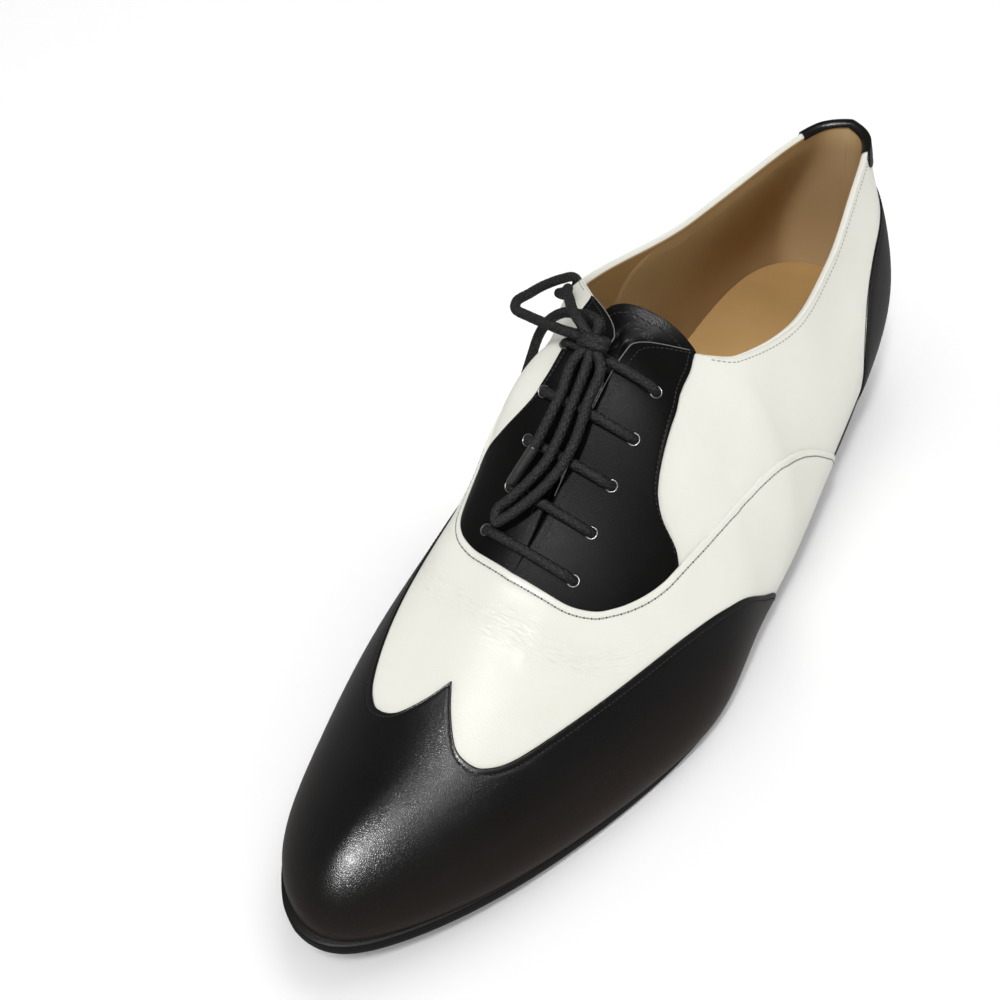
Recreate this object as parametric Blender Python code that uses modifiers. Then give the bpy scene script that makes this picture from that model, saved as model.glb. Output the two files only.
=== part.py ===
"""Two-tone lace-up shoe with a wing tip, for the left foot.

The upper is one closed loop of ribs that runs from the back of the heel along
the outer side to the toe and back along the inner side.  Each rib is a cubic
arc from the feather line, where the upper meets the sole, to the collar, the
throat slit or the ridge of the forefoot.  Panels are cut from the same surface.
Sizes are in millimetres: x to the outer side, s from the heel to the toe, z up.
"""
import math

import bmesh
import bpy
import numpy as np
from mathutils import Vector

for old in list(bpy.data.objects):
    bpy.data.objects.remove(old, do_unlink=True)

MM = 0.001
CENTRE_X = 3.96         # middle of the shoe's width
CENTRE_S = 140.37       # middle of the shoe's length
WALL = 1.8              # upper leather with its lining
SEAT = 0.3              # clearance where two pieces meet
PANEL = 0.9             # skived leather of the applied panels
PANEL_LIFT = 0.4        # from the upper to the underside of a panel
SOLE_THICK = 4.6
HEEL_BREAST = 3.25      # rib at the front of the heel
HEEL_EDGE = -0.5        # how far the heel stands out past the sole
HEEL_WAIST = -1.1       # the same where block and wearing piece meet
HEEL_FOOT = -1.6        # the same at the floor
TOP_PIECE = 5.0
INSOLE_THICK = 2.4
INSOLE_GAP = 2.5        # from the feather line to the insole's edge
SLIT_END = 8.25         # rib at the lower end of the throat slit
SLIT_HALF = 2.4         # half the slit's width at its top
TONGUE_THICK = 1.6
TONGUE_DROP = 2.7       # from the upper's face to the tongue's face
LACE = 2.6              # lace diameter
EYELET_R = 2.0
EYELET_WIRE = 0.4
LACE_LIFT = 3.2         # from the upper's face to the middle of a lace bar

# Rib table: where each rib starts at the feather line (station, outer and inner
# half width, height), where it ends at the top (station, middle, half opening,
# height), how far its two handles reach out and up, and the cross slope on top.
RIB_COLUMNS = ("foot_s", "foot_out", "foot_in", "foot_z", "top_s", "top_mid", "top_half",
               "top_z", "low_out", "low_up", "high_out", "high_up", "slope")
RIBS = (
    (4.1, 0, 0, 21, 8.6, -0.4, 0, 79.5, 5.4, 18, 2.3, -21.6, 0),
    (11, 17.5, 18, 21, 13.2, -1, 8.4, 77.8, 5.3, 17.8, 5.4, -20.3, 0),
    (31, 27.2, 26, 20, 33, -2, 15, 74, 5, 17, 4.5, -19.6, 0),
    (61.7, 33, 27, 17, 62.5, -3.2, 22.5, 68, 5.1, 16, 3.5, -18, 0),
    (93.8, 37.6, 27.1, 13, 90.8, -5.3, 27.1, 68.2, 5.4, 16.2, 5.4, -16, 0.04),
    (120.4, 41.3, 29.7, 9.5, 116.4, -5.6, 23, 76.5, 5.5, 17, 13, -10.2, 0.15),
    (144.7, 43.4, 33.7, 6.5, 138, -4.2, 0, 83, 5.2, 19.7, 31.3, 0, 0.28),
    (165.6, 46.6, 35.8, 4.85, 157, -3.6, 0, 72, 4.1, 18.7, 29.3, 0, 0.27),
    (186, 45.4, 38.9, 4.85, 179, -2.8, 0, 53.7, 3.3, 17.2, 23.8, 0, 0.25),
    (213.6, 38.3, 36.7, 6, 204.3, -2.3, 0, 43.3, 2.4, 14.8, 21.1, 0, 0.1),
    (243, 27.7, 28.6, 8.4, 228, -0.5, 0, 34.7, 1.7, 12.5, 16.3, 0, 0.03),
    (266.8, 14.2, 17.2, 11, 248, 0, 0, 30.7, 1.5, 10.5, 11.4, 0, 0),
    (276.8, 0, 0, 12.6, 257, -0.9, 0, 29.2, 1.5, 9, 9.8, 0, 0),
)
TOE = len(RIBS) - 1
LOOP = 2 * TOE

# How far the sole stands out past the feather line, from the back of the heel
# along the outer side to the toe and back along the inner side: trimmed close
# in the waist, with a small edge round the toe.
SOLE_COLUMNS = ("rib", "reach")
SOLE_REACH = (
    (0, 1.2), (1, 0.8), (2, 0.2), (7.5, 0.1), (8, 0.4), (8.5, 0.9), (9, 1.25), (10, 1.6), (11, 2.15),
    (11.5, 2.5), (12, 3.0), (12.25, 3.3), (12.5, 3.0), (12.75, 2.3), (13, 1.9), (13.5, 1.8), (14, 1.6),
    (15, 1.25), (15.5, 0.9), (16, 0.4), (16.5, 0.1), (22, 0.2), (23, 0.8), (24, 1.2),
)

# Line of the wing tip on either side, from its rear end at the sole round the
# scallop to the point on the ridge: rib, height on the rib, rib at the sole.
WING_COLUMNS = ("rib", "height", "sole_rib")
WING = (
    (5.45, 0.04, 5.45),
    (5.66, 0.125, 5.66),
    (6.28, 0.285, 6.28),
    (6.8, 0.37, 6.8),
    (7.4, 0.43, 7.4),
    (8.08, 0.475, 8.08),
    (8.64, 0.507, 8.65),
    (9.14, 0.545, 9.2),
    (9.54, 0.59, 9.7),
    (9.77, 0.65, 10.15),
    (9.87, 0.71, 10.5),
    (9.92, 0.785, 10.9),
    (9.89, 0.85, 11.25),
    (9.76, 0.935, 11.65),
    (9.58, 1.0, 12.0),
)

# Outer edge of a lace facing, from the collar to the ridge below the slit.
FACING_COLUMNS = ("rib", "outer_side", "inner_side")
FACING = (
    (5.40, 0.985, 0.985),
    (5.6, 0.88, 0.90),
    (5.82, 0.82, 0.865),
    (6.26, 0.79, 0.85),
    (6.62, 0.765, 0.83),
    (6.86, 0.73, 0.775),
    (6.98, 0.675, 0.69),
    (7.1, 0.59, 0.605),
    (7.48, 0.602, 0.595),
    (7.88, 0.653, 0.63),
    (8.12, 0.71, 0.715),
    (8.28, 0.785, 0.805),
    (8.37, 0.88, 0.885),
    (8.44, 0.985, 0.985),
)

# Upper edge of the heel counter from the back seam to its front, and lower
# edge of the heel tab.
COUNTER = ((0.0, 0.80), (0.6, 0.745), (1.1, 0.68), (1.56, 0.637), (1.92, 0.61), (2.28, 0.555),
           (2.54, 0.475), (2.74, 0.36), (2.84, 0.22), (2.88, 0.05))
HEEL_TAB = ((0.0, 0.86), (0.7, 0.875), (1.2, 0.90), (1.4, 0.93))

# Lace holes on either side, from the lowest to the top one.
EYELETS = ((8.09, 0.819), (7.65, 0.848), (7.2, 0.861), (6.72, 0.869), (6.18, 0.88))

parts = bpy.data.collections.new("lace_up_shoe")
cutters = bpy.data.collections.new("cutters")
bpy.context.scene.collection.children.link(parts)
bpy.context.scene.collection.children.link(cutters)


def column(name):
    return np.array([row[RIB_COLUMNS.index(name)] for row in RIBS], float)


def both_sides(outer, inner):
    """One value per rib round the whole loop: heel, outer side, toe, inner side."""
    return np.concatenate([outer, inner[-2:0:-1]])


def smooth_loop(values):
    """Closed cubic spline through one value per rib."""
    count = len(values)
    ring = 4 * np.eye(count) + np.roll(np.eye(count), 1, 0) + np.roll(np.eye(count), -1, 0)
    bend = np.linalg.solve(ring, 6 * (np.roll(values, -1) - 2 * values + np.roll(values, 1)))

    def at(u):
        low = np.floor(u)
        t = u - low
        i = low.astype(int) % count
        j = (i + 1) % count
        chord = values[i] * (1 - t) + values[j] * t
        return chord + ((1 - t) ** 3 - (1 - t)) * bend[i] / 6 + (t ** 3 - t) * bend[j] / 6
    return at


def flat_loop(values):
    """Closed curve through one value per rib that never overshoots them."""
    ahead = np.roll(values, -1) - values
    behind = np.roll(ahead, 1)
    total = np.where(ahead + behind == 0, 1, ahead + behind)
    rate = np.where(ahead * behind > 0, 2 * ahead * behind / total, 0)

    def at(u):
        low = np.floor(u)
        t = u - low
        i = low.astype(int) % len(values)
        j = (i + 1) % len(values)
        start = values[i] * (2 * t ** 3 - 3 * t ** 2 + 1) + rate[i] * (t ** 3 - 2 * t ** 2 + t)
        return start + values[j] * (3 * t ** 2 - 2 * t ** 3) + rate[j] * (t ** 3 - t ** 2)
    return at


EVEN = {name: smooth_loop(both_sides(column(name), column(name))) for name in RIB_COLUMNS}
FOOT_X = smooth_loop(both_sides(column("foot_out"), -column("foot_in")))
OPENING = flat_loop(both_sides(column("top_half"), column("top_half")))


def feather(u):
    return np.stack([FOOT_X(u), EVEN["foot_s"](u), EVEN["foot_z"](u)], -1)


def feather_out(u):
    """Level direction out of the shoe at the feather line."""
    run = feather(u + 0.01) - feather(u - 0.01)
    out = np.stack([run[..., 1], -run[..., 0]], -1)
    return out / np.linalg.norm(out, axis=-1, keepdims=True)


def ridge_fall(u):
    """Rise of the ridge per unit of length along the shoe."""
    near_toe = np.abs(np.mod(u, LOOP) - TOE) < 0.25
    u = np.where(near_toe, TOE - 0.25, u)
    run = EVEN["top_s"](u + 0.01) - EVEN["top_s"](u - 0.01)
    rise = EVEN["top_z"](u + 0.01) - EVEN["top_z"](u - 0.01)
    run = np.where(np.abs(run) < 1e-4, 1e-4, run)
    return np.clip(rise / run, -2, 2)


def side_of(u):
    return np.where(np.mod(u, LOOP) <= TOE, 1.0, -1.0)


def slit(u):
    """Half width of the throat slit at its edge."""
    from_heel = TOE - np.abs(np.mod(u, LOOP) - TOE)
    down = np.clip((SLIT_END - from_heel) / (SLIT_END - 6), 0, 1)
    in_collar = np.clip((from_heel - 5.2) / 0.8, 0, 1)
    return SLIT_HALF * down * in_collar ** 2 * (3 - 2 * in_collar)


def rib_handles(u, gap):
    """The four control points of each rib."""
    half = np.maximum(OPENING(u), 0)
    foot = feather(u)
    across = side_of(u) * half
    top_z = EVEN["top_z"](u) - EVEN["slope"](u) * across
    top = np.stack([EVEN["top_mid"](u) + across, EVEN["top_s"](u), top_z], -1)
    out = feather_out(u)
    low = foot + np.concatenate([out * EVEN["low_out"](u)[..., None], EVEN["low_up"](u)[..., None]], -1)
    closed = np.clip(1 - half / 20, 0, 1)
    closed = closed ** 2 * (3 - 2 * closed)
    fan = foot[..., :2] - top[..., :2]
    fan = fan / np.linalg.norm(fan, axis=-1, keepdims=True)
    reach = (closed[..., None] * fan + (1 - closed[..., None]) * out) * EVEN["high_out"](u)[..., None]
    lift = EVEN["high_up"](u) + closed * (ridge_fall(u) * reach[..., 1] - EVEN["slope"](u) * reach[..., 0])
    high = top + np.concatenate([reach, lift[..., None]], -1)
    spread = (side_of(u) * slit(u) * gap)[..., None] * np.array([1.0, 0.0, 0.0])
    return foot, low, high + 0.5 * spread, top + spread


def rib_point(u, v, gap):
    u, v = np.broadcast_arrays(np.asarray(u, float), np.asarray(v, float))
    foot, low, high, top = rib_handles(u, gap)
    v = v[..., None]
    return foot * (1 - v) ** 3 + low * 3 * v * (1 - v) ** 2 + high * 3 * v ** 2 * (1 - v) + top * v ** 3


def outward(u, v, gap):
    """Unit normal of the upper; on the closed ridge both sides share one."""
    u, v = np.broadcast_arrays(np.asarray(u, float), np.asarray(v, float))
    w = np.clip(v, 0.01, 0.97)
    along = rib_point(u + 0.02, w, gap) - rib_point(u - 0.02, w, gap)
    up = rib_point(u, w + 0.01, gap) - rib_point(u, w - 0.01, gap)
    normal = np.cross(along, up)
    normal = normal / np.linalg.norm(normal, axis=-1, keepdims=True)
    crest = np.stack([EVEN["slope"](u), -ridge_fall(u), np.ones_like(u)], -1)
    crest = crest / np.linalg.norm(crest, axis=-1, keepdims=True)
    on_ridge = (v > 0.999) & (OPENING(u) < 0.5)
    return np.where(on_ridge[..., None], crest, normal)


def upper_at(u, v, lift=0.0, gap=1.0):
    """Point of the upper's face, lifted off it along its normal."""
    return rib_point(u, v, gap) + lift * outward(u, v, gap)


def flat_plan(u, v):
    """The upper laid flat, each rib a straight line from its top to the sole."""
    foot, _, _, top = rib_handles(np.asarray(u, float), 0.0)
    v = np.asarray(v, float)[..., None]
    return (foot + v * (top - foot))[..., :2]


PLAN_RIBS = np.linspace(0, LOOP, 1441)
PLAN_FOOT = flat_plan(PLAN_RIBS, np.zeros_like(PLAN_RIBS))
PLAN_TOP = flat_plan(PLAN_RIBS, np.ones_like(PLAN_RIBS))


def locate(spot):
    """Rib and height of a spot on the flat plan of the forefoot."""
    along = PLAN_FOOT - PLAN_TOP
    off = np.asarray(spot) - PLAN_TOP
    turn = along[:, 0] * off[:, 1] - along[:, 1] * off[:, 0]
    share = (off * along).sum(1) / (along * along).sum(1)
    crossing = (turn[:-1] * turn[1:] <= 0) & (share[:-1] > -0.03) & (share[:-1] < 1.05)
    first = np.nonzero(crossing)[0]
    i = first[np.argmin(np.abs(share[first] - np.clip(share[first], 0, 1)))]
    t = turn[i] / (turn[i] - turn[i + 1]) if turn[i] != turn[i + 1] else 0.0
    rib = PLAN_RIBS[i] + t * (PLAN_RIBS[i + 1] - PLAN_RIBS[i])
    return rib, float(np.clip(1 - (share[i] + t * (share[i + 1] - share[i])), 0, 1))


def line_at(line, steps):
    """Curve through the rows of a line at whole and part steps."""
    line = np.asarray(line, float)
    rate = np.gradient(line, axis=0)
    i = np.minimum(steps.astype(int), len(line) - 2)
    t = (steps - i)[:, None]
    start = line[i] * (2 * t ** 3 - 3 * t ** 2 + 1) + rate[i] * (t ** 3 - 2 * t ** 2 + t)
    return start + line[i + 1] * (3 * t ** 2 - 2 * t ** 3) + rate[i + 1] * (t ** 3 - t ** 2)


def smooth_line(points, count):
    """Evenly stepped points on a curve through hand-placed ones."""
    points = np.asarray(points, float)
    gone = np.concatenate([[0], np.cumsum(np.linalg.norm(np.diff(points, axis=0), axis=1))])
    rate = np.gradient(points, gone, axis=0)
    at = np.linspace(0, gone[-1], count)
    i = np.clip(np.searchsorted(gone, at, side="right") - 1, 0, len(gone) - 2)
    step = (gone[i + 1] - gone[i])[:, None]
    t = ((at - gone[i]) / step[:, 0])[:, None]
    start = points[i] * (2 * t ** 3 - 3 * t ** 2 + 1) + rate[i] * step * (t ** 3 - 2 * t ** 2 + t)
    return start + points[i + 1] * (3 * t ** 2 - 2 * t ** 3) + rate[i + 1] * step * (t ** 3 - t ** 2)


def world(points):
    points = np.asarray(points, float)
    return np.stack([points[..., 0] - CENTRE_X, CENTRE_S - points[..., 1], points[..., 2]], -1) * MM


def finish(name, mesh, colour, roughness, metallic=0.0):
    """Put a mesh in the shoe's collection with a material of its own."""
    material = bpy.data.materials.new(name)
    material.use_nodes = True
    shader = material.node_tree.nodes["Principled BSDF"]
    shader.inputs["Base Color"].default_value = (*colour, 1)
    shader.inputs["Roughness"].default_value = roughness
    shader.inputs["Metallic"].default_value = metallic
    mesh.materials.append(material)
    mesh.shade_smooth()
    mesh.set_sharp_from_angle(angle=math.radians(40))
    piece = bpy.data.objects.new(name, mesh)
    parts.objects.link(piece)
    return piece


def grid_mesh(name, grid, closed=False, cap=False):
    """Quads over rows of points; rows that run together are welded."""
    bm = bmesh.new()
    rows = [[bm.verts.new(p) for p in row] for row in world(grid)]
    wide = len(rows[0])
    for lower, upper in zip(rows[:-1], rows[1:]):
        for j in range(wide if closed else wide - 1):
            k = (j + 1) % wide
            bm.faces.new((lower[j], lower[k], upper[k], upper[j]))
    bmesh.ops.remove_doubles(bm, verts=bm.verts, dist=2e-5)
    if cap:
        bmesh.ops.holes_fill(bm, edges=[e for e in bm.edges if e.is_boundary], sides=0)
        bmesh.ops.recalc_face_normals(bm, faces=bm.faces)
    mesh = bpy.data.meshes.new(name)
    bm.to_mesh(mesh)
    bm.free()
    return mesh


def thicken(piece, thickness, offset):
    shell = piece.modifiers.new("wall", "SOLIDIFY")
    shell.thickness = thickness * MM
    shell.offset = offset
    shell.use_rim = True


def panel(name, grid, colour, roughness):
    """An applied leather panel whose grid lies on the upper's lifted face."""
    piece = finish(name, grid_mesh(name, grid), colour, roughness)
    thicken(piece, PANEL, 1.0)
    return piece


def cross_rings(stations, outline, top, bottom, across):
    """Level sections of a sole layer, each a ring from edge to edge and back."""
    rings = []
    for u in stations:
        pair = np.array([u, LOOP - u])
        edges = [feather(pair)[:, :2] + feather_out(pair) * reach for reach in outline(u)]
        share = np.linspace(0, 1, across)[:, None]
        upper = edges[0][0] + share * (edges[0][1] - edges[0][0])
        lower = edges[1][1] + share * (edges[1][0] - edges[1][1])
        ring = np.concatenate([upper, lower])
        height = np.concatenate([np.full(across, top(u)), np.full(across, bottom(u))])
        rings.append(np.concatenate([ring, height[:, None]], 1))
    return np.array(rings)


def level(u):
    return float(EVEN["foot_z"](np.array(u)))


def sole_reach(u):
    """Reach of the sole's edge on the outer and the inner side at a rib."""
    return np.interp([u, LOOP - u], *np.transpose(SOLE_REACH))[:, None]


def sole_under(u):
    return max(0.0, level(u) - SEAT - SOLE_THICK)


BLACK = (0.012, 0.011, 0.011)
WHITE = (0.83, 0.82, 0.78)
TAN = (0.52, 0.36, 0.2)

# Sole: one layer from heel to toe, with the arch and the toe spring of the
# feather line and a level tread under the ball of the foot.
sole_stations = np.concatenate([np.linspace(0, 2, 9)[:-1], np.linspace(2, 9, 22)[:-1],
                                np.linspace(9, TOE, 13)])
sole_rings = cross_rings(sole_stations, lambda u: (sole_reach(u), sole_reach(u) - 0.5),
                         lambda u: level(u) - SEAT, sole_under, 3)
finish("outsole", grid_mesh("outsole", sole_rings, closed=True, cap=True), BLACK, 0.5)

# Heel: a low block that tapers to the tread, with its wearing piece below.
heel_stations = np.linspace(0, HEEL_BREAST, 12)
stack_rings = cross_rings(heel_stations, lambda u: (sole_reach(u) + HEEL_EDGE, sole_reach(u) + HEEL_WAIST),
                          lambda u: sole_under(u) - SEAT, lambda u: TOP_PIECE + SEAT, 4)
finish("heel_stack", grid_mesh("heel_stack", stack_rings, closed=True, cap=True), BLACK, 0.45)
tread_rings = cross_rings(heel_stations, lambda u: (sole_reach(u) + HEEL_WAIST, sole_reach(u) + HEEL_FOOT),
                          lambda u: TOP_PIECE, lambda u: 0.0, 4)
finish("heel_top_piece", grid_mesh("heel_top_piece", tread_rings, closed=True, cap=True), BLACK, 0.6)

# Insole: the board and sock that lie on the sole inside the upper.
insole_rings = cross_rings(sole_stations, lambda u: (-INSOLE_GAP, -INSOLE_GAP),
                           lambda u: level(u) + INSOLE_THICK, level, 3)
finish("insole", grid_mesh("insole", insole_rings, closed=True, cap=True), TAN, 0.5)

# Upper: vamp and quarters as one hollow wall, open at the collar, down the
# throat slit and underneath, with a hole for each pass of the lace.
side_ribs = np.concatenate([np.linspace(0, 2, 8)[:-1], np.linspace(2, 5, 9)[:-1], np.linspace(5, TOE, 26)])
loop_ribs = np.concatenate([side_ribs, LOOP - side_ribs[-2::-1]])
heights = np.array([0, 0.17, 0.33, 0.48, 0.63, 0.77, 0.9, 1.0])
upper = finish("upper", grid_mesh("upper", upper_at(loop_ribs[:, None], heights[None, :])), WHITE, 0.3)
thicken(upper, WALL, -1.0)

# Wing tip: laid out on the flat plan between its scalloped line and the sole.
outer_line = np.array([flat_plan(np.array(rib), np.array(height)) for rib, height, _ in WING])
inner_line = np.array([flat_plan(np.array(LOOP - rib), np.array(height)) for rib, height, _ in WING])
wing_steps = np.concatenate([np.linspace(0, 6, 12)[:-1], np.linspace(6, len(WING) - 1, 16)])
wing_nose = np.array([0, 0.22, 0.42, 0.58, 0.7, 0.8, 0.88, 0.95, 1.0])
wing_side = np.linspace(0, 1, len(wing_nose))
sole_ribs = [row[WING_COLUMNS.index("sole_rib")] for row in WING]
sole_rib = np.interp(wing_steps, np.arange(len(WING)), sole_ribs)
wing_edge = np.concatenate([line_at(outer_line, wing_steps), line_at(inner_line, wing_steps)[-2::-1]])
wing_sole = np.concatenate([sole_rib, LOOP - sole_rib[-2::-1]])
wing_grid = []
for edge, rib in zip(wing_edge, wing_sole):
    at_sole = flat_plan(np.array(rib), np.array(0.015))
    to_nose = np.clip(1 - abs(rib - TOE) / 2.5, 0, 1)
    wing_down = wing_side + to_nose * (wing_nose - wing_side)
    spots = [locate(edge + w * (at_sole - edge)) for w in wing_down]
    rib_list, height_list = np.array(spots).T
    wing_grid.append(upper_at(rib_list, height_list, PANEL_LIFT, 0.0))
panel("wing_cap", np.array(wing_grid)[:, ::-1], BLACK, 0.3)

# Heel counter and the narrow tab over the back of the collar.
counter_ribs, counter_top = line_at(COUNTER, np.arange(0, len(COUNTER) - 0.5, 0.5)).T
counter_ribs = np.concatenate([-counter_ribs[:0:-1], counter_ribs])
counter_top = np.concatenate([counter_top[:0:-1], counter_top])
rise = np.linspace(0, 1, 5)
counter_height = 0.015 + rise[None, :] * (counter_top[:, None] - 0.015)
panel("heel_counter", upper_at(counter_ribs[:, None], counter_height, PANEL_LIFT), BLACK, 0.3)

tab_ribs = np.linspace(-HEEL_TAB[-1][0], HEEL_TAB[-1][0], 13)
tab_low = np.interp(np.abs(tab_ribs), [rib for rib, _ in HEEL_TAB], [height for _, height in HEEL_TAB])
tab_height = tab_low[:, None] + np.linspace(0, 1, 3)[None, :] * (0.995 - tab_low[:, None])
panel("heel_tab", upper_at(tab_ribs[:, None], tab_height, PANEL_LIFT), BLACK, 0.3)

# Lace facings on both sides of the slit, with a seat for each eyelet.
facing_ribs, outer_low, inner_low = line_at(FACING, np.arange(0, len(FACING) - 0.5, 0.5)).T
facings = {}
for side, ribs, low in (("lateral", facing_ribs, outer_low), ("medial", LOOP - facing_ribs, inner_low)):
    heights = low[:, None] + np.linspace(0, 1, 5)[None, :] * (0.995 - low[:, None])
    grid = upper_at(ribs[:, None], heights, PANEL_LIFT)
    facings[side] = panel("facing_" + side, grid if side == "lateral" else grid[::-1], BLACK, 0.3)


def rod_cutter(name, rib, height, radius):
    """Round cutter through the upper along its normal."""
    bm = bmesh.new()
    bmesh.ops.create_cone(bm, cap_ends=True, segments=10, radius1=radius * MM, radius2=radius * MM,
                          depth=9 * MM)
    mesh = bpy.data.meshes.new(name)
    bm.to_mesh(mesh)
    bm.free()
    rod = bpy.data.objects.new(name, mesh)
    aim(rod, rib, height, 0.0)
    rod.hide_render = True
    rod.display_type = "WIRE"
    cutters.objects.link(rod)
    return rod


def aim(piece, rib, height, lift):
    """Stand a piece on the upper's face with its Z axis along the normal."""
    spot = world(upper_at(rib, height, lift))
    tip = world(upper_at(rib, height, lift + 1.0))
    piece.location = spot
    piece.rotation_euler = Vector(tip - spot).to_track_quat("Z", "Y").to_euler()


def cut(piece, rod):
    boolean = piece.modifiers.new(rod.name, "BOOLEAN")
    boolean.operation = "DIFFERENCE"
    boolean.solver = "EXACT"
    boolean.object = rod


# Eyelets: a small ring in each hole of the facings.
for side, tag in (("lateral", "lat"), ("medial", "med")):
    for count, (rib, height) in enumerate(EYELETS, 1):
        rib = rib if side == "lateral" else LOOP - rib
        cut(upper, rod_cutter("hole_%s_%d" % (tag, count), rib, height, LACE / 2 + 0.35))
        seat = EYELET_R + EYELET_WIRE + SEAT
        cut(facings[side], rod_cutter("seat_%s_%d" % (tag, count), rib, height, seat))
        bpy.ops.mesh.primitive_torus_add(major_segments=8, minor_segments=4, major_radius=EYELET_R * MM,
                                         minor_radius=EYELET_WIRE * MM)
        ring = bpy.context.object
        mesh = ring.data
        bpy.data.objects.remove(ring, do_unlink=True)
        name = "eyelet_%s_%d" % (tag, count)
        mesh.name = name
        eyelet = finish(name, mesh, (0.35, 0.35, 0.36), 0.35, 0.8)
        aim(eyelet, rib, height, PANEL_LIFT + PANEL - 0.2)

# Tongue: lies under the facings and stands up behind them in a low dome.  Each
# row spans from one side to the other; above the slit it arches over the gap.
TONGUE_COLUMNS = ("rib", "side", "crown")
TONGUE = (
    (5.45, 0.95, 7.5),
    (5.55, 0.92, 5.2),
    (5.65, 0.89, 3.4),
    (5.78, 0.85, 1.8),
    (5.92, 0.80, 0.6),
    (6.1, 0.75, 0),
    (6.4, 0.72, 0),
    (6.8, 0.70, 0),
    (7.2, 0.70, 0),
    (7.6, 0.72, 0),
    (8.0, 0.80, 0),
    (8.2, 0.90, 0),
)
TONGUE_ACROSS = 12
tongue_grid = []
for rib, side, crown in TONGUE:
    climb = np.linspace(side, 1, 6)
    outer = upper_at(rib, climb, -TONGUE_DROP, 0.0)
    inner = upper_at(LOOP - rib, climb[::-1], -TONGUE_DROP, 0.0)
    share = np.array([0.2, 0.35, 0.5, 0.65, 0.8])[:, None]
    arch = outer[-1] + share * (inner[0] - outer[-1]) + 4 * crown * share * (1 - share) * np.array([0, 0, 1])
    crest = (outer[-1:] + inner[:1]) / 2
    over_gap = [outer, arch, inner] if crown > 0 else [outer[:-1], crest, inner[1:]]
    tongue_grid.append(smooth_line(np.concatenate(over_gap), TONGUE_ACROSS))
tongue = finish("tongue", grid_mesh("tongue", np.array(tongue_grid)), BLACK, 0.4)
thicken(tongue, TONGUE_THICK, -1.0)

# Lace: a bar from eyelet to eyelet, drawn tight over the ridge in a flat bow.
BAR_OVER = 0.03         # how far a bar runs past the middle of its eyelets


def cord(name, points, count, thick, colour, roughness):
    """Round cord with closed ends along a smooth route."""
    route = world(smooth_line(points, count))
    curve = bpy.data.curves.new(name, "CURVE")
    curve.dimensions = "3D"
    curve.bevel_depth = thick / 2 * MM
    curve.bevel_resolution = 2
    curve.use_fill_caps = True
    spline = curve.splines.new("POLY")
    spline.points.add(count - 1)
    for point, spot in zip(spline.points, route):
        point.co = (*spot, 1)
    material = bpy.data.materials.new(name)
    material.use_nodes = True
    shader = material.node_tree.nodes["Principled BSDF"]
    shader.inputs["Base Color"].default_value = (*colour, 1)
    shader.inputs["Roughness"].default_value = roughness
    curve.materials.append(material)
    piece = bpy.data.objects.new(name, curve)
    parts.objects.link(piece)


for count, (rib, height) in enumerate(EYELETS, 1):
    ends = upper_at(np.array([rib, LOOP - rib]), height, LACE_LIFT)
    bow = upper_at(rib, 1.0, LACE_LIFT, 0.0) - ends.mean(0)
    across = np.linspace(-BAR_OVER, 1 + BAR_OVER, 9)[:, None]
    route = ends[0] + across * (ends[1] - ends[0]) + 4 * across * (1 - across) * bow
    cord("lace_bar_%d" % count, route, 9, LACE, BLACK, 0.8)

# Bow: a knot on the top bar, one loop that lies out over the inner side, one
# that hangs down the throat with the first end, and the second end inside.
KNOT = (-6.3, 146.8, 89.7)
KNOT_SIZE = (9.0, 6.4, 5.4)
LOOP_A = ((-11.3, 146.4, 89.6), (-15.5, 145.6, 88.4), (-22.0, 144.0, 86.8), (-29.0, 142.2, 85.2),
          (-34.0, 140.2, 83.8), (-36.6, 136.0, 82.6), (-36.8, 130.2, 81.0), (-37.6, 122.0, 78.0),
          (-36.8, 114.5, 75.6), (-36.2, 109.6, 73.2), (-36.2, 107.8, 70.4), (-36.2, 109.6, 68.6),
          (-36.2, 113.4, 69.7), (-35.3, 118.3, 73.8), (-30.5, 122.8, 79.2), (-26.6, 127.0, 84.6),
          (-23.4, 132.4, 88.6), (-19.2, 137.6, 91.2), (-14.8, 142.8, 93.0), (-10.2, 146.2, 93.2))
LOOP_B = ((-2.3, 150.2, 86.6), (-1.6, 157.2, 80.2), (-0.8, 165.0, 73.1), (-1.5, 169.9, 68.9),
          (-3.4, 174.8, 65.2), (-6.2, 179.6, 61.8), (-8.7, 183.0, 59.5), (-10.8, 184.8, 58.2),
          (-11.9, 183.0, 59.2), (-9.8, 179.6, 62.2), (-7.1, 175.2, 66.0), (-5.0, 170.0, 70.2),
          (-4.6, 165.0, 74.4), (-4.9, 159.7, 78.8), (-5.6, 151.2, 85.8))
END_A = ((-8.9, 150.4, 86.6), (-8.6, 158.2, 80.5), (-9.4, 167.2, 72.4), (-9.6, 168.4, 71.2))
AGLET_A = ((-9.65, 168.7, 70.95), (-12.0, 176.3, 63.3))
END_B = ((-6.4, 144.4, 93.4), (-10.2, 142.0, 92.6), (-14.6, 140.2, 90.2), (-20.4, 138.6, 87.2),
         (-24.8, 138.4, 83.0), (-28.0, 138.2, 77.4), (-31.4, 137.9, 67.6), (-33.6, 137.9, 60.2),
         (-35.4, 137.7, 52.5))
AGLET_B = ((-35.5, 137.7, 52.1), (-37.1, 137.5, 41.6))

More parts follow.
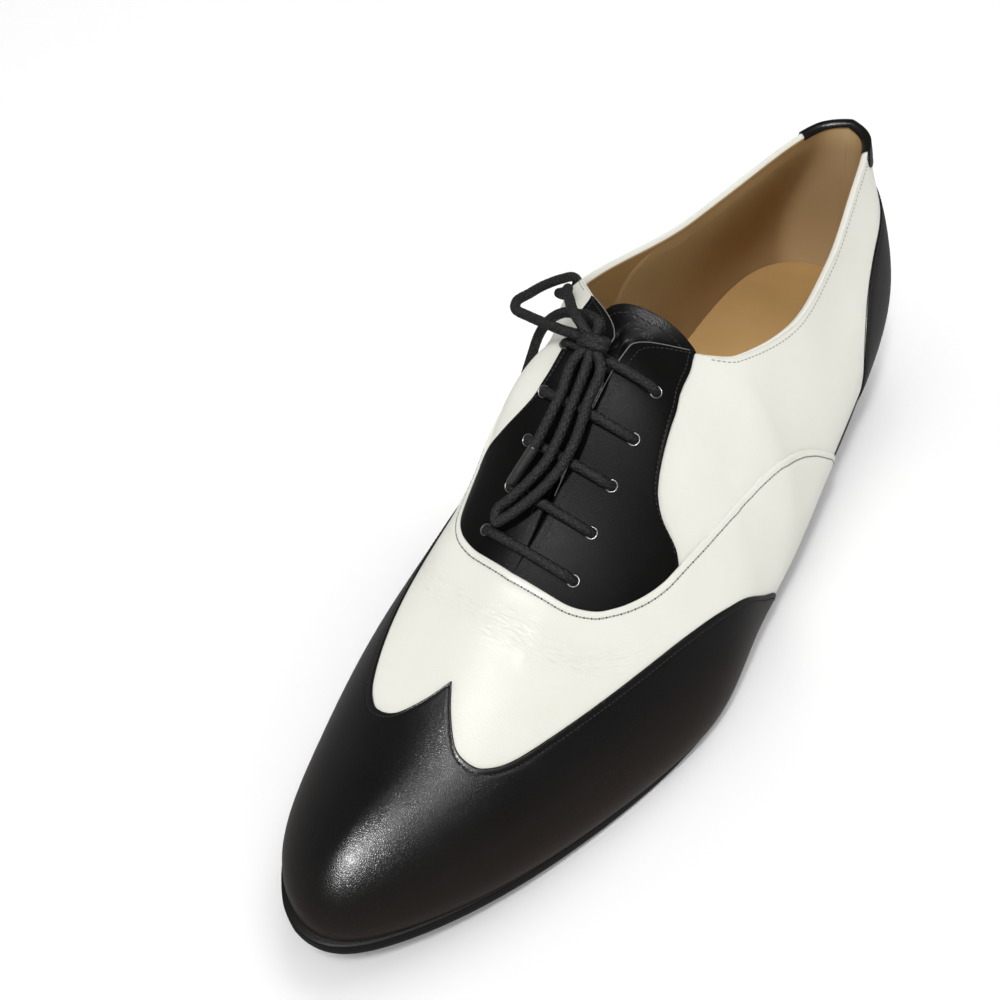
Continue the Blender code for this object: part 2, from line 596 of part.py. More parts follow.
bm = bmesh.new()
bmesh.ops.create_uvsphere(bm, u_segments=12, v_segments=8, radius=0.5)
bmesh.ops.scale(bm, vec=[size * MM for size in KNOT_SIZE], verts=bm.verts)
knot_mesh = bpy.data.meshes.new("lace_knot")
bm.to_mesh(knot_mesh)
bm.free()
knot = finish("lace_knot", knot_mesh, BLACK, 0.8)
knot.location = world(KNOT)
cord("lace_loop_a", LOOP_A, 24, LACE, BLACK, 0.8)
cord("lace_loop_b", LOOP_B, 20, LACE, BLACK, 0.8)
cord("lace_end_a", END_A, 5, LACE, BLACK, 0.8)
cord("lace_end_b", END_B, 12, LACE, BLACK, 0.8)
cord("aglet_a", AGLET_A, 2, 2.3, (0.2, 0.2, 0.2), 0.2)
cord("aglet_b", AGLET_B, 2, 2.3, (0.2, 0.2, 0.2), 0.2)
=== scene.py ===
import math

import bmesh
import bpy
import numpy as np
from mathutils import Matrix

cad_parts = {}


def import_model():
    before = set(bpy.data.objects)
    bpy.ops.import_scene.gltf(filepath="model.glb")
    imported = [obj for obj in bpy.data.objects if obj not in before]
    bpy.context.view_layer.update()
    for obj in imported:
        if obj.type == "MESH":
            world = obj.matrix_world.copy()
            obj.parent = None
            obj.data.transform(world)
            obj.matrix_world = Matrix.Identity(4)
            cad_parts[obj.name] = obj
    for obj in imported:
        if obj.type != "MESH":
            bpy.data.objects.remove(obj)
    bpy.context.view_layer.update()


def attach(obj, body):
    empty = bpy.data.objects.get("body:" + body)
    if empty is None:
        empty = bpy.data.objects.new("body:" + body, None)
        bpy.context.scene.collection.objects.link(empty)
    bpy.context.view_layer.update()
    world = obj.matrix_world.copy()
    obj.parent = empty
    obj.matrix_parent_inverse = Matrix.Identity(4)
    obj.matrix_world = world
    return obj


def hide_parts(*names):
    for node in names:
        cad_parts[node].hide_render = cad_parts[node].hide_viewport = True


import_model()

# Insole: the board that the shoe is built on, covered with a thin sock of tan
# calf.  It is trimmed a little inside the feather line, where upper meets sole.
MM = 0.001
CENTRE_X = 3.96
CENTRE_S = 140.37
# Feather line: station, outer half width, inner half width, height.
FEATHER = (
    (4.1, 0, 0, 21),
    (11, 17.5, 18, 21),
    (31, 27.2, 26, 20),
    (61.7, 33, 27, 17),
    (93.8, 37.6, 27.1, 13),
    (120.4, 41.3, 29.7, 9.5),
    (144.7, 43.4, 33.7, 6.5),
    (165.6, 46.6, 35.8, 4.85),
    (186, 45.4, 38.9, 4.85),
    (213.6, 38.3, 36.7, 6),
    (243, 27.7, 28.6, 8.4),
    (266.8, 14.2, 17.2, 11),
    (276.8, 0, 0, 12.6),
)
TOE = len(FEATHER) - 1
LOOP = 2 * TOE


def both_sides(outer, inner):
    """One value per rib round the shoe: heel, outer side, toe, inner side."""
    return np.concatenate([outer, inner[-2:0:-1]])


def smooth_loop(values):
    """Closed cubic spline through one value per rib."""
    count = len(values)
    ring = 4 * np.eye(count) + np.roll(np.eye(count), 1, 0) + np.roll(np.eye(count), -1, 0)
    bend = np.linalg.solve(ring, 6 * (np.roll(values, -1) - 2 * values + np.roll(values, 1)))

    def at(u):
        low = np.floor(u)
        t = u - low
        i = low.astype(int) % count
        j = (i + 1) % count
        chord = values[i] * (1 - t) + values[j] * t
        return chord + ((1 - t) ** 3 - (1 - t)) * bend[i] / 6 + (t ** 3 - t) * bend[j] / 6
    return at


station, outer_half, inner_half, foot_height = np.array(FEATHER, float).T
foot_x = smooth_loop(both_sides(outer_half, -inner_half))
foot_s = smooth_loop(both_sides(station, station))
foot_z = smooth_loop(both_sides(foot_height, foot_height))


def feather(u):
    return np.stack([foot_x(u), foot_s(u), foot_z(u)], -1)


# Small step over which slopes are taken.
NUDGE = 0.01


def unit(vectors):
    return vectors / np.linalg.norm(vectors, axis=-1, keepdims=True)


def feather_out(u):
    """Level direction out of the shoe at the feather line."""
    run = feather(u + NUDGE) - feather(u - NUDGE)
    return unit(np.stack([run[..., 1], -run[..., 0], np.zeros_like(run[..., 0])], -1))


def world(points):
    """Millimetres (outer side, station, up) to the frame's metres."""
    points = np.asarray(points, float)
    return np.stack([points[..., 0] - CENTRE_X, CENTRE_S - points[..., 1], points[..., 2]], -1) * MM


def place_piece(mesh, materials):
    """Object of a finished mesh, fixed to the shoe's one body."""
    for material in materials:
        mesh.materials.append(material)
    piece = bpy.data.objects.new(mesh.name, mesh)
    bpy.context.scene.collection.objects.link(piece)
    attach(piece, "root")
    return piece


def grid_piece(name, grid, materials, wrap=False, slots=None, run=None):
    """Smooth mesh over a grid of points; rows that run together are welded."""
    columns, rows = grid.shape[:2]
    index = np.arange(columns * rows).reshape(columns, rows)
    if wrap:
        index = np.concatenate([index, index[:1]])
    corners = np.stack([index[:-1, :-1], index[1:, :-1], index[1:, 1:], index[:-1, 1:]], -1)
    mesh = bpy.data.meshes.new(name)
    mesh.from_pydata(world(grid).reshape(-1, 3).tolist(), [], corners.reshape(-1, 4).tolist())
    if slots is not None:
        mesh.polygons.foreach_set("material_index", np.broadcast_to(slots, corners.shape[:2]).ravel())
    if run is not None:
        spots = run.reshape(-1, 2)[corners.reshape(-1)]
        mesh.uv_layers.new(name="seam_run").data.foreach_set("uv", spots.ravel())
    shape = bmesh.new()
    shape.from_mesh(mesh)
    bmesh.ops.remove_doubles(shape, verts=shape.verts, dist=1e-6)
    bmesh.ops.dissolve_degenerate(shape, edges=shape.edges, dist=1e-7)
    bmesh.ops.recalc_face_normals(shape, faces=shape.faces)
    shape.to_mesh(mesh)
    shape.free()
    mesh.shade_smooth()
    return place_piece(mesh, materials)


def new_group(name, inputs, outputs):
    """Empty shader group with named number inputs and outputs."""
    group = bpy.data.node_groups.new(name, "ShaderNodeTree")
    for socket, value in inputs:
        entry = group.interface.new_socket(name=socket, in_out="INPUT", socket_type="NodeSocketFloat")
        entry.default_value = value
    for socket in outputs:
        group.interface.new_socket(name=socket, in_out="OUTPUT", socket_type="NodeSocketFloat")
    return group, group.nodes.new("NodeGroupInput"), group.nodes.new("NodeGroupOutput")


def add_node(tree, kind, inputs, **settings):
    """Shader node; each input is given as a value or as the socket that feeds it."""
    node = tree.nodes.new("ShaderNode" + kind)
    for setting, value in settings.items():
        setattr(node, setting, value)
    for socket, value in inputs.items():
        if isinstance(value, bpy.types.NodeSocket):
            tree.links.new(value, node.inputs[socket])
        else:
            node.inputs[socket].default_value = value
    return node


def two_tones(tree, mask, first, second, name="second_tone"):
    """Colour that goes from the first to the second where the mask rises to 1."""
    tones = {"Factor": mask, "A": first, "B": second}
    return add_node(tree, "Mix", tones, data_type="RGBA", name=name).outputs["Result"]


def new_finish(name, constants):
    """Material with its node tree and shader, and constants set on the shader."""
    material = bpy.data.materials.new(name)
    material.use_nodes = True
    shader = material.node_tree.nodes["Principled BSDF"]
    for socket, value in constants.items():
        shader.inputs[socket].default_value = value
    return material, material.node_tree, shader


# Leather grain: rounded cells with hair pores, and a slow drift in tone.
CELL_EDGE = 0.32
PORE_SHARE = 0.8
leather_grain, grain_in, grain_out = new_group(
    "leather_grain", (("Cell Size", 0.0006), ("Patch Size", 0.02)), ("Height", "Tone"))
spot = add_node(leather_grain, "TexCoord", {}).outputs["Object"]
per_cell, per_patch = [
    add_node(leather_grain, "Math", {0: 1, 1: grain_in.outputs[size]}, operation="DIVIDE").outputs[0]
    for size in ("Cell Size", "Patch Size")]
cells = add_node(leather_grain, "TexVoronoi", {"Vector": spot, "Scale": per_cell},
                 feature="DISTANCE_TO_EDGE")
domes = add_node(leather_grain, "MapRange", {"Value": cells.outputs["Distance"], "From Max": CELL_EDGE},
                 interpolation_type="SMOOTHSTEP")
pores = add_node(leather_grain, "TexNoise", {"Vector": spot, "Scale": per_cell, "Detail": 3})
height = add_node(leather_grain, "Math", {
    0: pores.outputs["Fac"], 1: PORE_SHARE, 2: domes.outputs["Result"]}, operation="MULTIPLY_ADD")
patches = add_node(leather_grain, "TexNoise", {"Vector": spot, "Scale": per_patch, "Detail": 4})
leather_grain.links.new(height.outputs[0], grain_out.inputs["Height"])
leather_grain.links.new(patches.outputs["Fac"], grain_out.inputs["Tone"])
GLOSS_SPREAD = (0.85, 1.2)
COAT_ROUGHNESS = 0.12


def leather(name, deep, light, roughness, cell, depth, coat=0.0, specular=0.5):
    """Leather of two close tones; the grain's cell size and depth are in millimetres."""
    material, tree, shader = new_finish(name, {
        "Coat Weight": coat, "Coat Roughness": COAT_ROUGHNESS, "Specular IOR Level": specular})
    grain = add_node(tree, "Group", {}, node_tree=leather_grain)
    grain.inputs["Cell Size"].default_value = cell * MM
    tone = two_tones(tree, grain.outputs["Tone"], (*deep, 1), (*light, 1), "tone")
    gloss = add_node(tree, "MapRange", {
        "Value": grain.outputs["Tone"],
        "To Min": roughness * GLOSS_SPREAD[0],
        "To Max": roughness * GLOSS_SPREAD[1]})
    bump = add_node(tree, "Bump", {
        "Height": grain.outputs["Height"], "Strength": 1, "Distance": depth * MM}, name="bump")
    tree.links.new(tone, shader.inputs["Base Color"])
    tree.links.new(gloss.outputs["Result"], shader.inputs["Roughness"])
    tree.links.new(bump.outputs["Normal"], shader.inputs["Normal"])
    return material


SOCK_INSET = 1.75
SOCK_THICK = 2.4
# Stations between which the sole layers close along the middle.
LAYER_MIDDLE = (16, 262)
sock_leather = leather("sock_leather", (0.64, 0.40, 0.15), (0.79, 0.515, 0.215),
                       roughness=0.42, cell=0.5, depth=0.03)


def layer_piece(name, ribs, profile, materials, front=0):
    """Sole layer whose edge runs round the shoe; an open front is closed straight across."""
    columns = []
    for u in ribs:
        reach, rise = np.array(profile(u), float).T
        spot, out = feather(np.array(u)), feather_out(np.array(u))
        middle = (spot + feather(np.array(LOOP - u))) / 2
        middle[1] = np.clip(middle[1], *LAYER_MIDDLE)
        flat = np.concatenate([middle[None, :2], spot[:2] + reach[:, None] * out[:2], middle[None, :2]])
        columns.append(np.concatenate([flat, np.concatenate([rise[:1], rise, rise[-1:]])[:, None]], 1))
    columns = np.array(columns)
    share = np.linspace(0, 1, front + 2)[1:-1, None, None]
    across = columns[-1] + share * (columns[0] - columns[-1])
    return grid_piece(name, np.concatenate([columns, across]), materials, wrap=True)


def sock_profile(u):
    base = float(foot_z(np.array(u)))
    top = base + SOCK_THICK
    return ((-SOCK_INSET - 0.9, top), (-SOCK_INSET - 0.3, top - 0.15), (-SOCK_INSET, top - 0.6),
            (-SOCK_INSET, base + 0.1))


insole = layer_piece("insole_sock", np.linspace(0, LOOP, 361)[:-1], sock_profile, [sock_leather])
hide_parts("insole")

# Upper: quarters of smooth white calf, closed over the last and lined with tan
# leather.  The topline is folded over and stitched down a little below the edge.
RIB_COLUMNS = ("top_s", "top_mid", "top_half", "top_z",
               "low_out", "low_up", "high_out", "high_up", "slope")
RIBS = (
    (8.6, -0.4, 0, 79.5, 5.4, 18, 2.3, -21.6, 0),
    (13.2, -1, 8.4, 77.8, 5.3, 17.8, 5.4, -20.3, 0),
    (33, -2, 15, 74, 5, 17, 4.5, -19.6, 0),
    (62.5, -3.2, 22.5, 68, 5.1, 16, 3.5, -18, 0),
    (90.8, -5.3, 27.1, 68.2, 5.4, 16.2, 5.4, -16, 0.04),
    (116.4, -5.6, 23, 76.5, 5.5, 17, 13, -10.2, 0.15),
    (138, -4.2, 0, 83, 5.2, 19.7, 31.3, 0, 0.28),
    (157, -3.6, 0, 72, 4.1, 18.7, 29.3, 0, 0.27),
    (179, -2.8, 0, 53.7, 3.3, 17.2, 23.8, 0, 0.25),
    (204.3, -2.3, 0, 43.3, 2.4, 14.8, 21.1, 0, 0.1),
    (228, -0.5, 0, 34.7, 1.7, 12.5, 16.3, 0, 0.03),
    (248, 0, 0, 30.7, 1.5, 10.5, 11.4, 0, 0),
    (257, -0.9, 0, 29.2, 1.5, 9, 9.8, 0, 0),
)
WALL = 1.8
# Slit: rib where it starts, ribs in which it opens, ribs of its full width and end.
SLIT_START, SLIT_FLARE, SLIT_FULL, SLIT_END = 5.2, 0.8, 6, 8.25
SLIT_HALF = 2.4
# A rib whose opening is this wide on each side stands free of the ridge.
OPEN_HALF = 20
# In front of this rib and above this height both sides share the ridge's normal.
FRONT_RIB = 4
RIDGE_START = 0.97
CLOSED_HALF = 0.5
TOE_HOLD = 0.25
LEAST_RUN = 1e-4
STEEPEST = 2
RIB = {name: smooth_loop(both_sides(values, values))
       for name, values in zip(RIB_COLUMNS, np.array(RIBS, float).T)}


def blend(t, start, leaving, stop, arriving):
    """Cubic from one value to the next, with the rates at which it leaves and arrives."""
    first = start * (2 * t ** 3 - 3 * t ** 2 + 1) + leaving * (t ** 3 - 2 * t ** 2 + t)
    return first + stop * (3 * t ** 2 - 2 * t ** 3) + arriving * (t ** 3 - t ** 2)


def flat_loop(values):
    """Closed curve through one value per rib that never overshoots them."""
    ahead = np.roll(values, -1) - values
    behind = np.roll(ahead, 1)
    total = np.where(ahead + behind == 0, 1, ahead + behind)
    rate = np.where(ahead * behind > 0, 2 * ahead * behind / total, 0)

    def at(u):
        low = np.floor(u)
        i = low.astype(int) % len(values)
        j = (i + 1) % len(values)
        return blend(u - low, values[i], rate[i], values[j], rate[j])
    return at


top_half = np.array(RIBS, float)[:, RIB_COLUMNS.index("top_half")]
opening = flat_loop(both_sides(top_half, top_half))


def from_heel(u):
    """Ribs from the middle of the heel, on either side of the shoe."""
    return TOE - np.abs(np.mod(u, LOOP) - TOE)


def ease(share):
    """Smooth step from 0 to 1."""
    share = np.clip(share, 0, 1)
    return share ** 2 * (3 - 2 * share)


def ridge_fall(u):
    """Rise of the ridge per unit of length along the shoe, held the same near the toe."""
    u = np.where(from_heel(u) > TOE - TOE_HOLD, TOE - TOE_HOLD, u)
    run = RIB["top_s"](u + NUDGE) - RIB["top_s"](u - NUDGE)
    rise = RIB["top_z"](u + NUDGE) - RIB["top_z"](u - NUDGE)
    run = np.where(np.abs(run) < LEAST_RUN, LEAST_RUN, run)
    return np.clip(rise / run, -STEEPEST, STEEPEST)


def side_of(u):
    return np.where(np.mod(u, LOOP) <= TOE, 1.0, -1.0)


def slit(u):
    """Half width of the throat slit at its edge."""
    down = np.clip((SLIT_END - from_heel(u)) / (SLIT_END - SLIT_FULL), 0, 1)
    return SLIT_HALF * down * ease((from_heel(u) - SLIT_START) / SLIT_FLARE)


def rib_handles(u, gap):
    """The four control points of each rib."""
    half = np.maximum(opening(u), 0)
    foot = feather(u)
    across = side_of(u) * half
    top_z = RIB["top_z"](u) - RIB["slope"](u) * across
    top = np.stack([RIB["top_mid"](u) + across, RIB["top_s"](u), top_z], -1)
    out = feather_out(u)
    low = foot + out * RIB["low_out"](u)[..., None]
    low[..., 2] += RIB["low_up"](u)
    closed = ease(1 - half / OPEN_HALF)
    fan = unit((foot - top) * (1, 1, 0))
    reach = (closed[..., None] * fan + (1 - closed[..., None]) * out) * RIB["high_out"](u)[..., None]
    high = top + reach
    tilt = ridge_fall(u) * reach[..., 1] - RIB["slope"](u) * reach[..., 0]
    high[..., 2] += RIB["high_up"](u) + closed * tilt
    spread = (side_of(u) * slit(u) * gap)[..., None] * np.array([1.0, 0.0, 0.0])
    return foot, low, high + 0.5 * spread, top + spread


def rib_point(u, v, gap):
    u, v = np.broadcast_arrays(np.asarray(u, float), np.asarray(v, float))
    foot, low, high, top = rib_handles(u, gap)
    v = v[..., None]
    return foot * (1 - v) ** 3 + low * 3 * v * (1 - v) ** 2 + high * 3 * v ** 2 * (1 - v) + top * v ** 3


def outward(u, v, gap):
    """Unit normal of the upper; on the closed ridge both sides share one."""
    u, v = np.broadcast_arrays(np.asarray(u, float), np.asarray(v, float))
    w = np.clip(v, NUDGE, RIDGE_START)
    along = rib_point(u + 2 * NUDGE, w, gap) - rib_point(u - 2 * NUDGE, w, gap)
    up = rib_point(u, w + NUDGE, gap) - rib_point(u, w - NUDGE, gap)
    normal = unit(np.cross(along, up))
    crest = unit(np.stack([RIB["slope"](u), -ridge_fall(u), np.ones_like(u)], -1))
    closed = (opening(u) < CLOSED_HALF) * (from_heel(u) > FRONT_RIB)
    on_ridge = (np.clip((v - RIDGE_START) / (1 - RIDGE_START), 0, 1) * closed)[..., None]
    return unit(on_ridge * crest + (1 - on_ridge) * normal)


def upper_at(u, v, lift=0.0, gap=1.0):
    """Point of the upper's face, lifted off it along its normal."""
    lift = np.asarray(lift, float)[..., None]
    return rib_point(u, v, gap) + lift * outward(u, v, gap)


# Creases: soft troughs and ridges from one place on the upper to another.
# Each has the rib and height of its start and end, its width and its depth.
CREASES = (
    (8.62, 0.93, 8.2, 0.60, 3.2, -0.22),
    (8.80, 0.90, 8.45, 0.58, 3.4, 0.20),
    (8.95, 0.86, 8.62, 0.56, 3.0, -0.16),
    (15.4, 0.90, 15.9, 0.62, 3.2, -0.22),
    (15.2, 0.88, 15.6, 0.60, 3.4, 0.18),
    (6.45, 0.74, 6.05, 0.60, 4.5, 0.30),
    (6.05, 0.78, 5.75, 0.56, 5.0, -0.35),
    (5.55, 0.86, 5.35, 0.58, 5.5, 0.40),
    (5.05, 0.90, 4.95, 0.60, 6.0, -0.30),
    (18.2, 0.82, 18.5, 0.55, 5.5, -0.35),
    (18.7, 0.86, 18.9, 0.55, 5.5, 0.35),
)
CREASE_STEPS = np.linspace(0, 1, 15)
CREASE_TAPER = 0.08


def creased(u, v):
    """Height of the soft creases at a place on the upper, in millimetres."""
    spot = rib_point(u, v, 0.0)
    total = np.zeros(spot.shape[:-1])
    for from_rib, from_height, to_rib, to_height, width, depth in CREASES:
        line = rib_point(from_rib + CREASE_STEPS * (to_rib - from_rib),
                         from_height + CREASE_STEPS * (to_height - from_height), 0.0)
        near = np.full(total.shape, np.inf)
        fade = np.zeros(total.shape)
        for part, point in zip(CREASE_STEPS, line):
            apart = ((spot - point) ** 2).sum(-1)
            closer = apart < near
            near = np.where(closer, apart, near)
            taper = math.sin(math.pi * (CREASE_TAPER + (1 - 2 * CREASE_TAPER) * part))
            fade = np.where(closer, taper, fade)
        total += depth * fade * np.exp(-near / width ** 2)
    return total


WHITE_DEEP, WHITE_LIGHT = (0.74, 0.735, 0.66), (0.80, 0.80, 0.735)
white_calf = leather("white_calf", WHITE_DEEP, WHITE_LIGHT,
                     roughness=0.34, cell=0.45, depth=0.014, coat=0.04, specular=0.2)
lining_leather = leather("lining_leather", (0.32, 0.19, 0.068), (0.42, 0.27, 0.11),
                         roughness=0.5, cell=0.6, depth=0.03)

fine_ribs = np.concatenate([np.linspace(0, 2, 41)[:-1], np.linspace(2, TOE - 1, 163)[:-1],
                            np.linspace(TOE - 1, TOE, 21)])
loop_ribs = np.concatenate([fine_ribs, LOOP - fine_ribs[-2:0:-1]])
wall_rows = np.concatenate([np.linspace(0, 0.9, 50)[:-1], np.linspace(0.9, 1, 10)])
# Rolled edge of the topline: lift off the upper's face and rise above its top.
TOPLINE = ((0.1, 0.12), (0.08, 0.34), (-0.12, 0.58), (-0.45, 0.7),
           (-0.8, 0.66), (-1.2, 0.46), (-1.6, 0.2), (-1.78, 0.0))
WHITE_RIM_ROWS = 6
COLLAR_END, COLLAR_FADE = 5.5, 0.3
UPWARD = np.array([0, 0, 1])
u_grid, v_grid = np.meshgrid(loop_ribs, wall_rows, indexing="ij")
outer_face = upper_at(u_grid, v_grid, creased(u_grid, v_grid))
inner_face = upper_at(u_grid, v_grid, -WALL)[:, ::-1]
collar = np.clip((COLLAR_END - from_heel(loop_ribs)) / COLLAR_FADE, 0, 1)[:, None]
rim = [upper_at(loop_ribs, 1.0, lift) + UPWARD * rise * collar for lift, rise in TOPLINE]
upper_grid = np.concatenate([outer_face, np.stack(rim, 1), inner_face, outer_face[:, :1]], 1)
row_slots = np.zeros(upper_grid.shape[1] - 1, int)
row_slots[len(wall_rows) + WHITE_RIM_ROWS:-1] = 1
upper = grid_piece("upper_leather", upper_grid, [white_calf, lining_leather],
                   wrap=True, slots=row_slots[None, :])
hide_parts("upper")

# Heel grip: a soft panel of suede on the lining round the heel, skived thin
# along its front edge.  Its back is painted paler: painted light on the heel lining, not a tone of the suede.
GRIP_THICK = 0.5
GRIP_SINK = 0.05
GRIP_REACH, GRIP_SKIVE = 95, 0.9
GRIP_DEPTH, GRIP_TOP_SKIVE = 75, 6
# Where the painted light on the grip starts and where it is full, along the shoe in metres.
GRIP_PAINTED_LIGHT_FROM, GRIP_PAINTED_LIGHT_FULL = 0.1265, 0.1325
# Front edge: rib and height.
GRIP = ((3.55, 0.985), (3.85, 0.86), (4.1, 0.66), (4.15, 0.45), (3.95, 0.22), (3.8, 0.0))


def line_at(line, steps):
    """Curve through the rows of a line at whole and part steps."""
    line = np.asarray(line, float)
    rate = np.gradient(line, axis=0)
    i = np.minimum(steps.astype(int), len(line) - 2)
    return blend((steps - i)[:, None], line[i], rate[i], line[i + 1], rate[i + 1])


def lay_over(material, mask, colour):
    """Lay a colour over a leather's own tone where the mask is 1."""
    tree = material.node_tree
    laid = two_tones(tree, mask, tree.nodes["tone"].outputs["Result"], (*colour, 1))
    tree.links.new(laid, tree.nodes["Principled BSDF"].inputs["Base Color"])


grip_suede = leather("grip_suede", (0.35, 0.215, 0.08), (0.46, 0.3, 0.125),
                     roughness=0.8, cell=0.35, depth=0.04)
tree = grip_suede.node_tree
spot = add_node(tree, "TexCoord", {})
axes = add_node(tree, "SeparateXYZ", {"Vector": spot.outputs["Object"]})
# Paler towards the back of the heel: painted light.
painted_light_back = add_node(tree, "MapRange", {
    "Value": axes.outputs["Y"], "From Min": GRIP_PAINTED_LIGHT_FROM, "From Max": GRIP_PAINTED_LIGHT_FULL},
    interpolation_type="SMOOTHSTEP")
lay_over(grip_suede, painted_light_back.outputs["Result"], (0.66, 0.48, 0.25))
grip_edge = line_at(GRIP, np.linspace(0, len(GRIP) - 1, 41))
grip_share = np.linspace(-1, 1, 141)
grip_ribs = grip_edge[:, :1] * grip_share[None]
grip_from_edge = (1 - np.abs(grip_share)) * GRIP_REACH
grip_from_top = (GRIP[0][1] - grip_edge[:, 1:]) * GRIP_DEPTH
grip_fade = (np.clip(grip_from_edge / GRIP_SKIVE, 0, 1) ** 0.5
             * np.clip(grip_from_top / GRIP_TOP_SKIVE, 0, 1))
grip_lift = GRIP_SINK - WALL - GRIP_THICK * grip_fade
grip = grid_piece("grip_panel", upper_at(grip_ribs, grip_edge[:, 1:], grip_lift), [grip_suede])

# Vamp: a second sheet of the white calf that laps over the quarters and the
# facings.  Its edge is folded under and sewn down with grey thread.
VAMP_LIFT = 0.85
VAMP_PUFF, VAMP_LAP_RISE, VAMP_EDGE_RUN = 0.12, 0.43, 7
VAMP_LAP_FROM, VAMP_LAP_RUN = 6.45, 0.45
VAMP_STITCH_INSET, VAMP_STITCH_PITCH = 1.9, 1.9
# Edge on both sides: rib and height, then the rib and height that its row runs to.
VAMP_REAR = (
    (3.60, 0.0, 3.62, 0.0),
    (3.801, 0.194, 4.0, 0.0),
    (4.03, 0.32, 4.3, 0.0),
    (4.27, 0.415, 4.55, 0.0),
    (4.50, 0.474, 4.8, 0.0),
    (4.63, 0.4974, 4.92, 0.0),
    (4.872, 0.5277, 5.13, 0.0),
    (5.13, 0.5465, 5.36, 0.0),
    (5.307, 0.5389, 5.5, 0.025),
    (5.449, 0.5274, 5.62, 0.055),
    (5.586, 0.5169, 5.76, 0.09),
    (5.733, 0.5086, 5.92, 0.12),
    (5.953, 0.5097, 6.17, 0.165),
    (6.199, 0.5299, 6.4, 0.22),
    (6.426, 0.5447, 6.62, 0.26),
    (6.637, 0.5566, 6.83, 0.293),
    (6.835, 0.567, 7.04, 0.32),
    (7.022, 0.5755, 7.25, 0.342),
)
# Edge in front: rib, outer height, inner height, then where its row runs to.
VAMP_FRONT = (
    (7.2, 0.583, 0.5815, 7.47, 0.362),
    (7.36, 0.591, 0.586, 7.7, 0.385),
    (7.565, 0.609, 0.598, 8.05, 0.405),
    (7.769, 0.635, 0.617, 8.5, 0.43),
    (7.949, 0.666, 0.652, 9.0, 0.46),
    (8.13, 0.710, 0.714, 9.45, 0.49),
    (8.28, 0.784, 0.80, 9.95, 0.56),
    (8.36, 0.876, 0.88, 10.35, 0.72),
    (8.44, 1.0, 1.0, 10.4, 1.0),
)
# Section of the folded edge: inset from the fold and drop below the sheet.
FOLDED_EDGE = ((0.0, 1.2), (0.0, 0.45), (0.06, 0.2), (0.2, 0.05), (0.45, 0.0), (1.0, 0.0), (1.4, 0.04),
               (1.7, 0.13), (1.9, 0.17), (2.1, 0.13), (2.4, 0.04), (3.0, 0.0), (4.0, 0.0))
# Row of that section where the sheet lies flat, and most of a row that an edge takes.
FOLD_ROW = 4
EDGE_MOST = 0.7
LEAST_ROW = 1e-3


def straight_rows(edge, under):
    """Ribs and heights on straight rows from an edge to its lower line."""
    def at(share):
        spot = edge[:, None] + share[..., None] * (under - edge)[:, None]
        return spot[..., 0], spot[..., 1]
    return at


def row_lengths(rows_at, columns, gap):
    """Length of each row over the upper's face."""
    even = np.broadcast_to(np.linspace(0, 1, 25), (columns, 25))
    return np.linalg.norm(np.diff(rib_point(*rows_at(even), gap), axis=1), axis=2).sum(1)


def edge_shares(rows_at, columns, edge_rows, inner_rows, gap):
    """Share of each row at every inset of the edge, then evenly to its end."""
    reach = row_lengths(rows_at, columns, gap)
    inset = np.array([row[0] for row in edge_rows], float)
    near = np.minimum(inset / np.maximum(reach[:, None], LEAST_ROW), EDGE_MOST * inset / inset[-1])
    rest = near[:, -1:] + np.linspace(0, 1, inner_rows + 1)[1:] * (1 - near[:, -1:])
    return np.concatenate([near, rest], 1), reach


def sheet_grid(rows_at, columns, lift_at, edge_rows, inner_rows, gap=0.0):
    """Grid of a leather sheet whose first rows turn down over its edge."""
    shares, reach = edge_shares(rows_at, columns, edge_rows, inner_rows, gap)
    ribs, heights = rows_at(shares)
    drop = np.concatenate([[row[1] for row in edge_rows], np.zeros(inner_rows)])
    return upper_at(ribs, heights, lift_at(ribs, heights, shares * reach[:, None]) - drop, gap)


def stitch_line(rows_at, columns, inset, lift_at, sink=0.1, gap=0.0):
    """Points and normals of a seam that runs a fixed way inside an edge."""
    reach = row_lengths(rows_at, columns, gap)
    ribs, heights = rows_at(np.minimum(inset / np.maximum(reach, LEAST_ROW), EDGE_MOST)[:, None])
    lift = lift_at(ribs, heights, np.full(ribs.shape, inset)) - sink
    return upper_at(ribs, heights, lift, gap)[:, 0], outward(ribs, heights, gap)[:, 0]


def length_gone(route):
    """Length along a route at each of its points."""
    return np.concatenate([[0], np.cumsum(np.linalg.norm(np.diff(route, axis=0), axis=1))])


def part_way(at, gone, values):
    """Values of a route at given lengths along it."""
    return np.stack([np.interp(at, gone, values[:, k]) for k in range(3)], -1)


def spokes(turn, side, up):
    """Directions round a line, from one side of it and an upward one."""
    return np.cos(turn)[:, None] * side[..., None, :] + np.sin(turn)[:, None] * up[..., None, :]


THREAD_SIDES = 6
thread_turn = np.linspace(0, 2 * math.pi, THREAD_SIDES + 1)[:-1]
STITCH_ALONG = np.array([-1.0, -0.72, 0.0, 0.72, 1.0])
STITCH_GIRTH = np.sqrt(1 - (0.98 * STITCH_ALONG) ** 2) ** 0.6
STITCH_HALF_LENGTH = 0.39
STITCH_DIP = 0.45


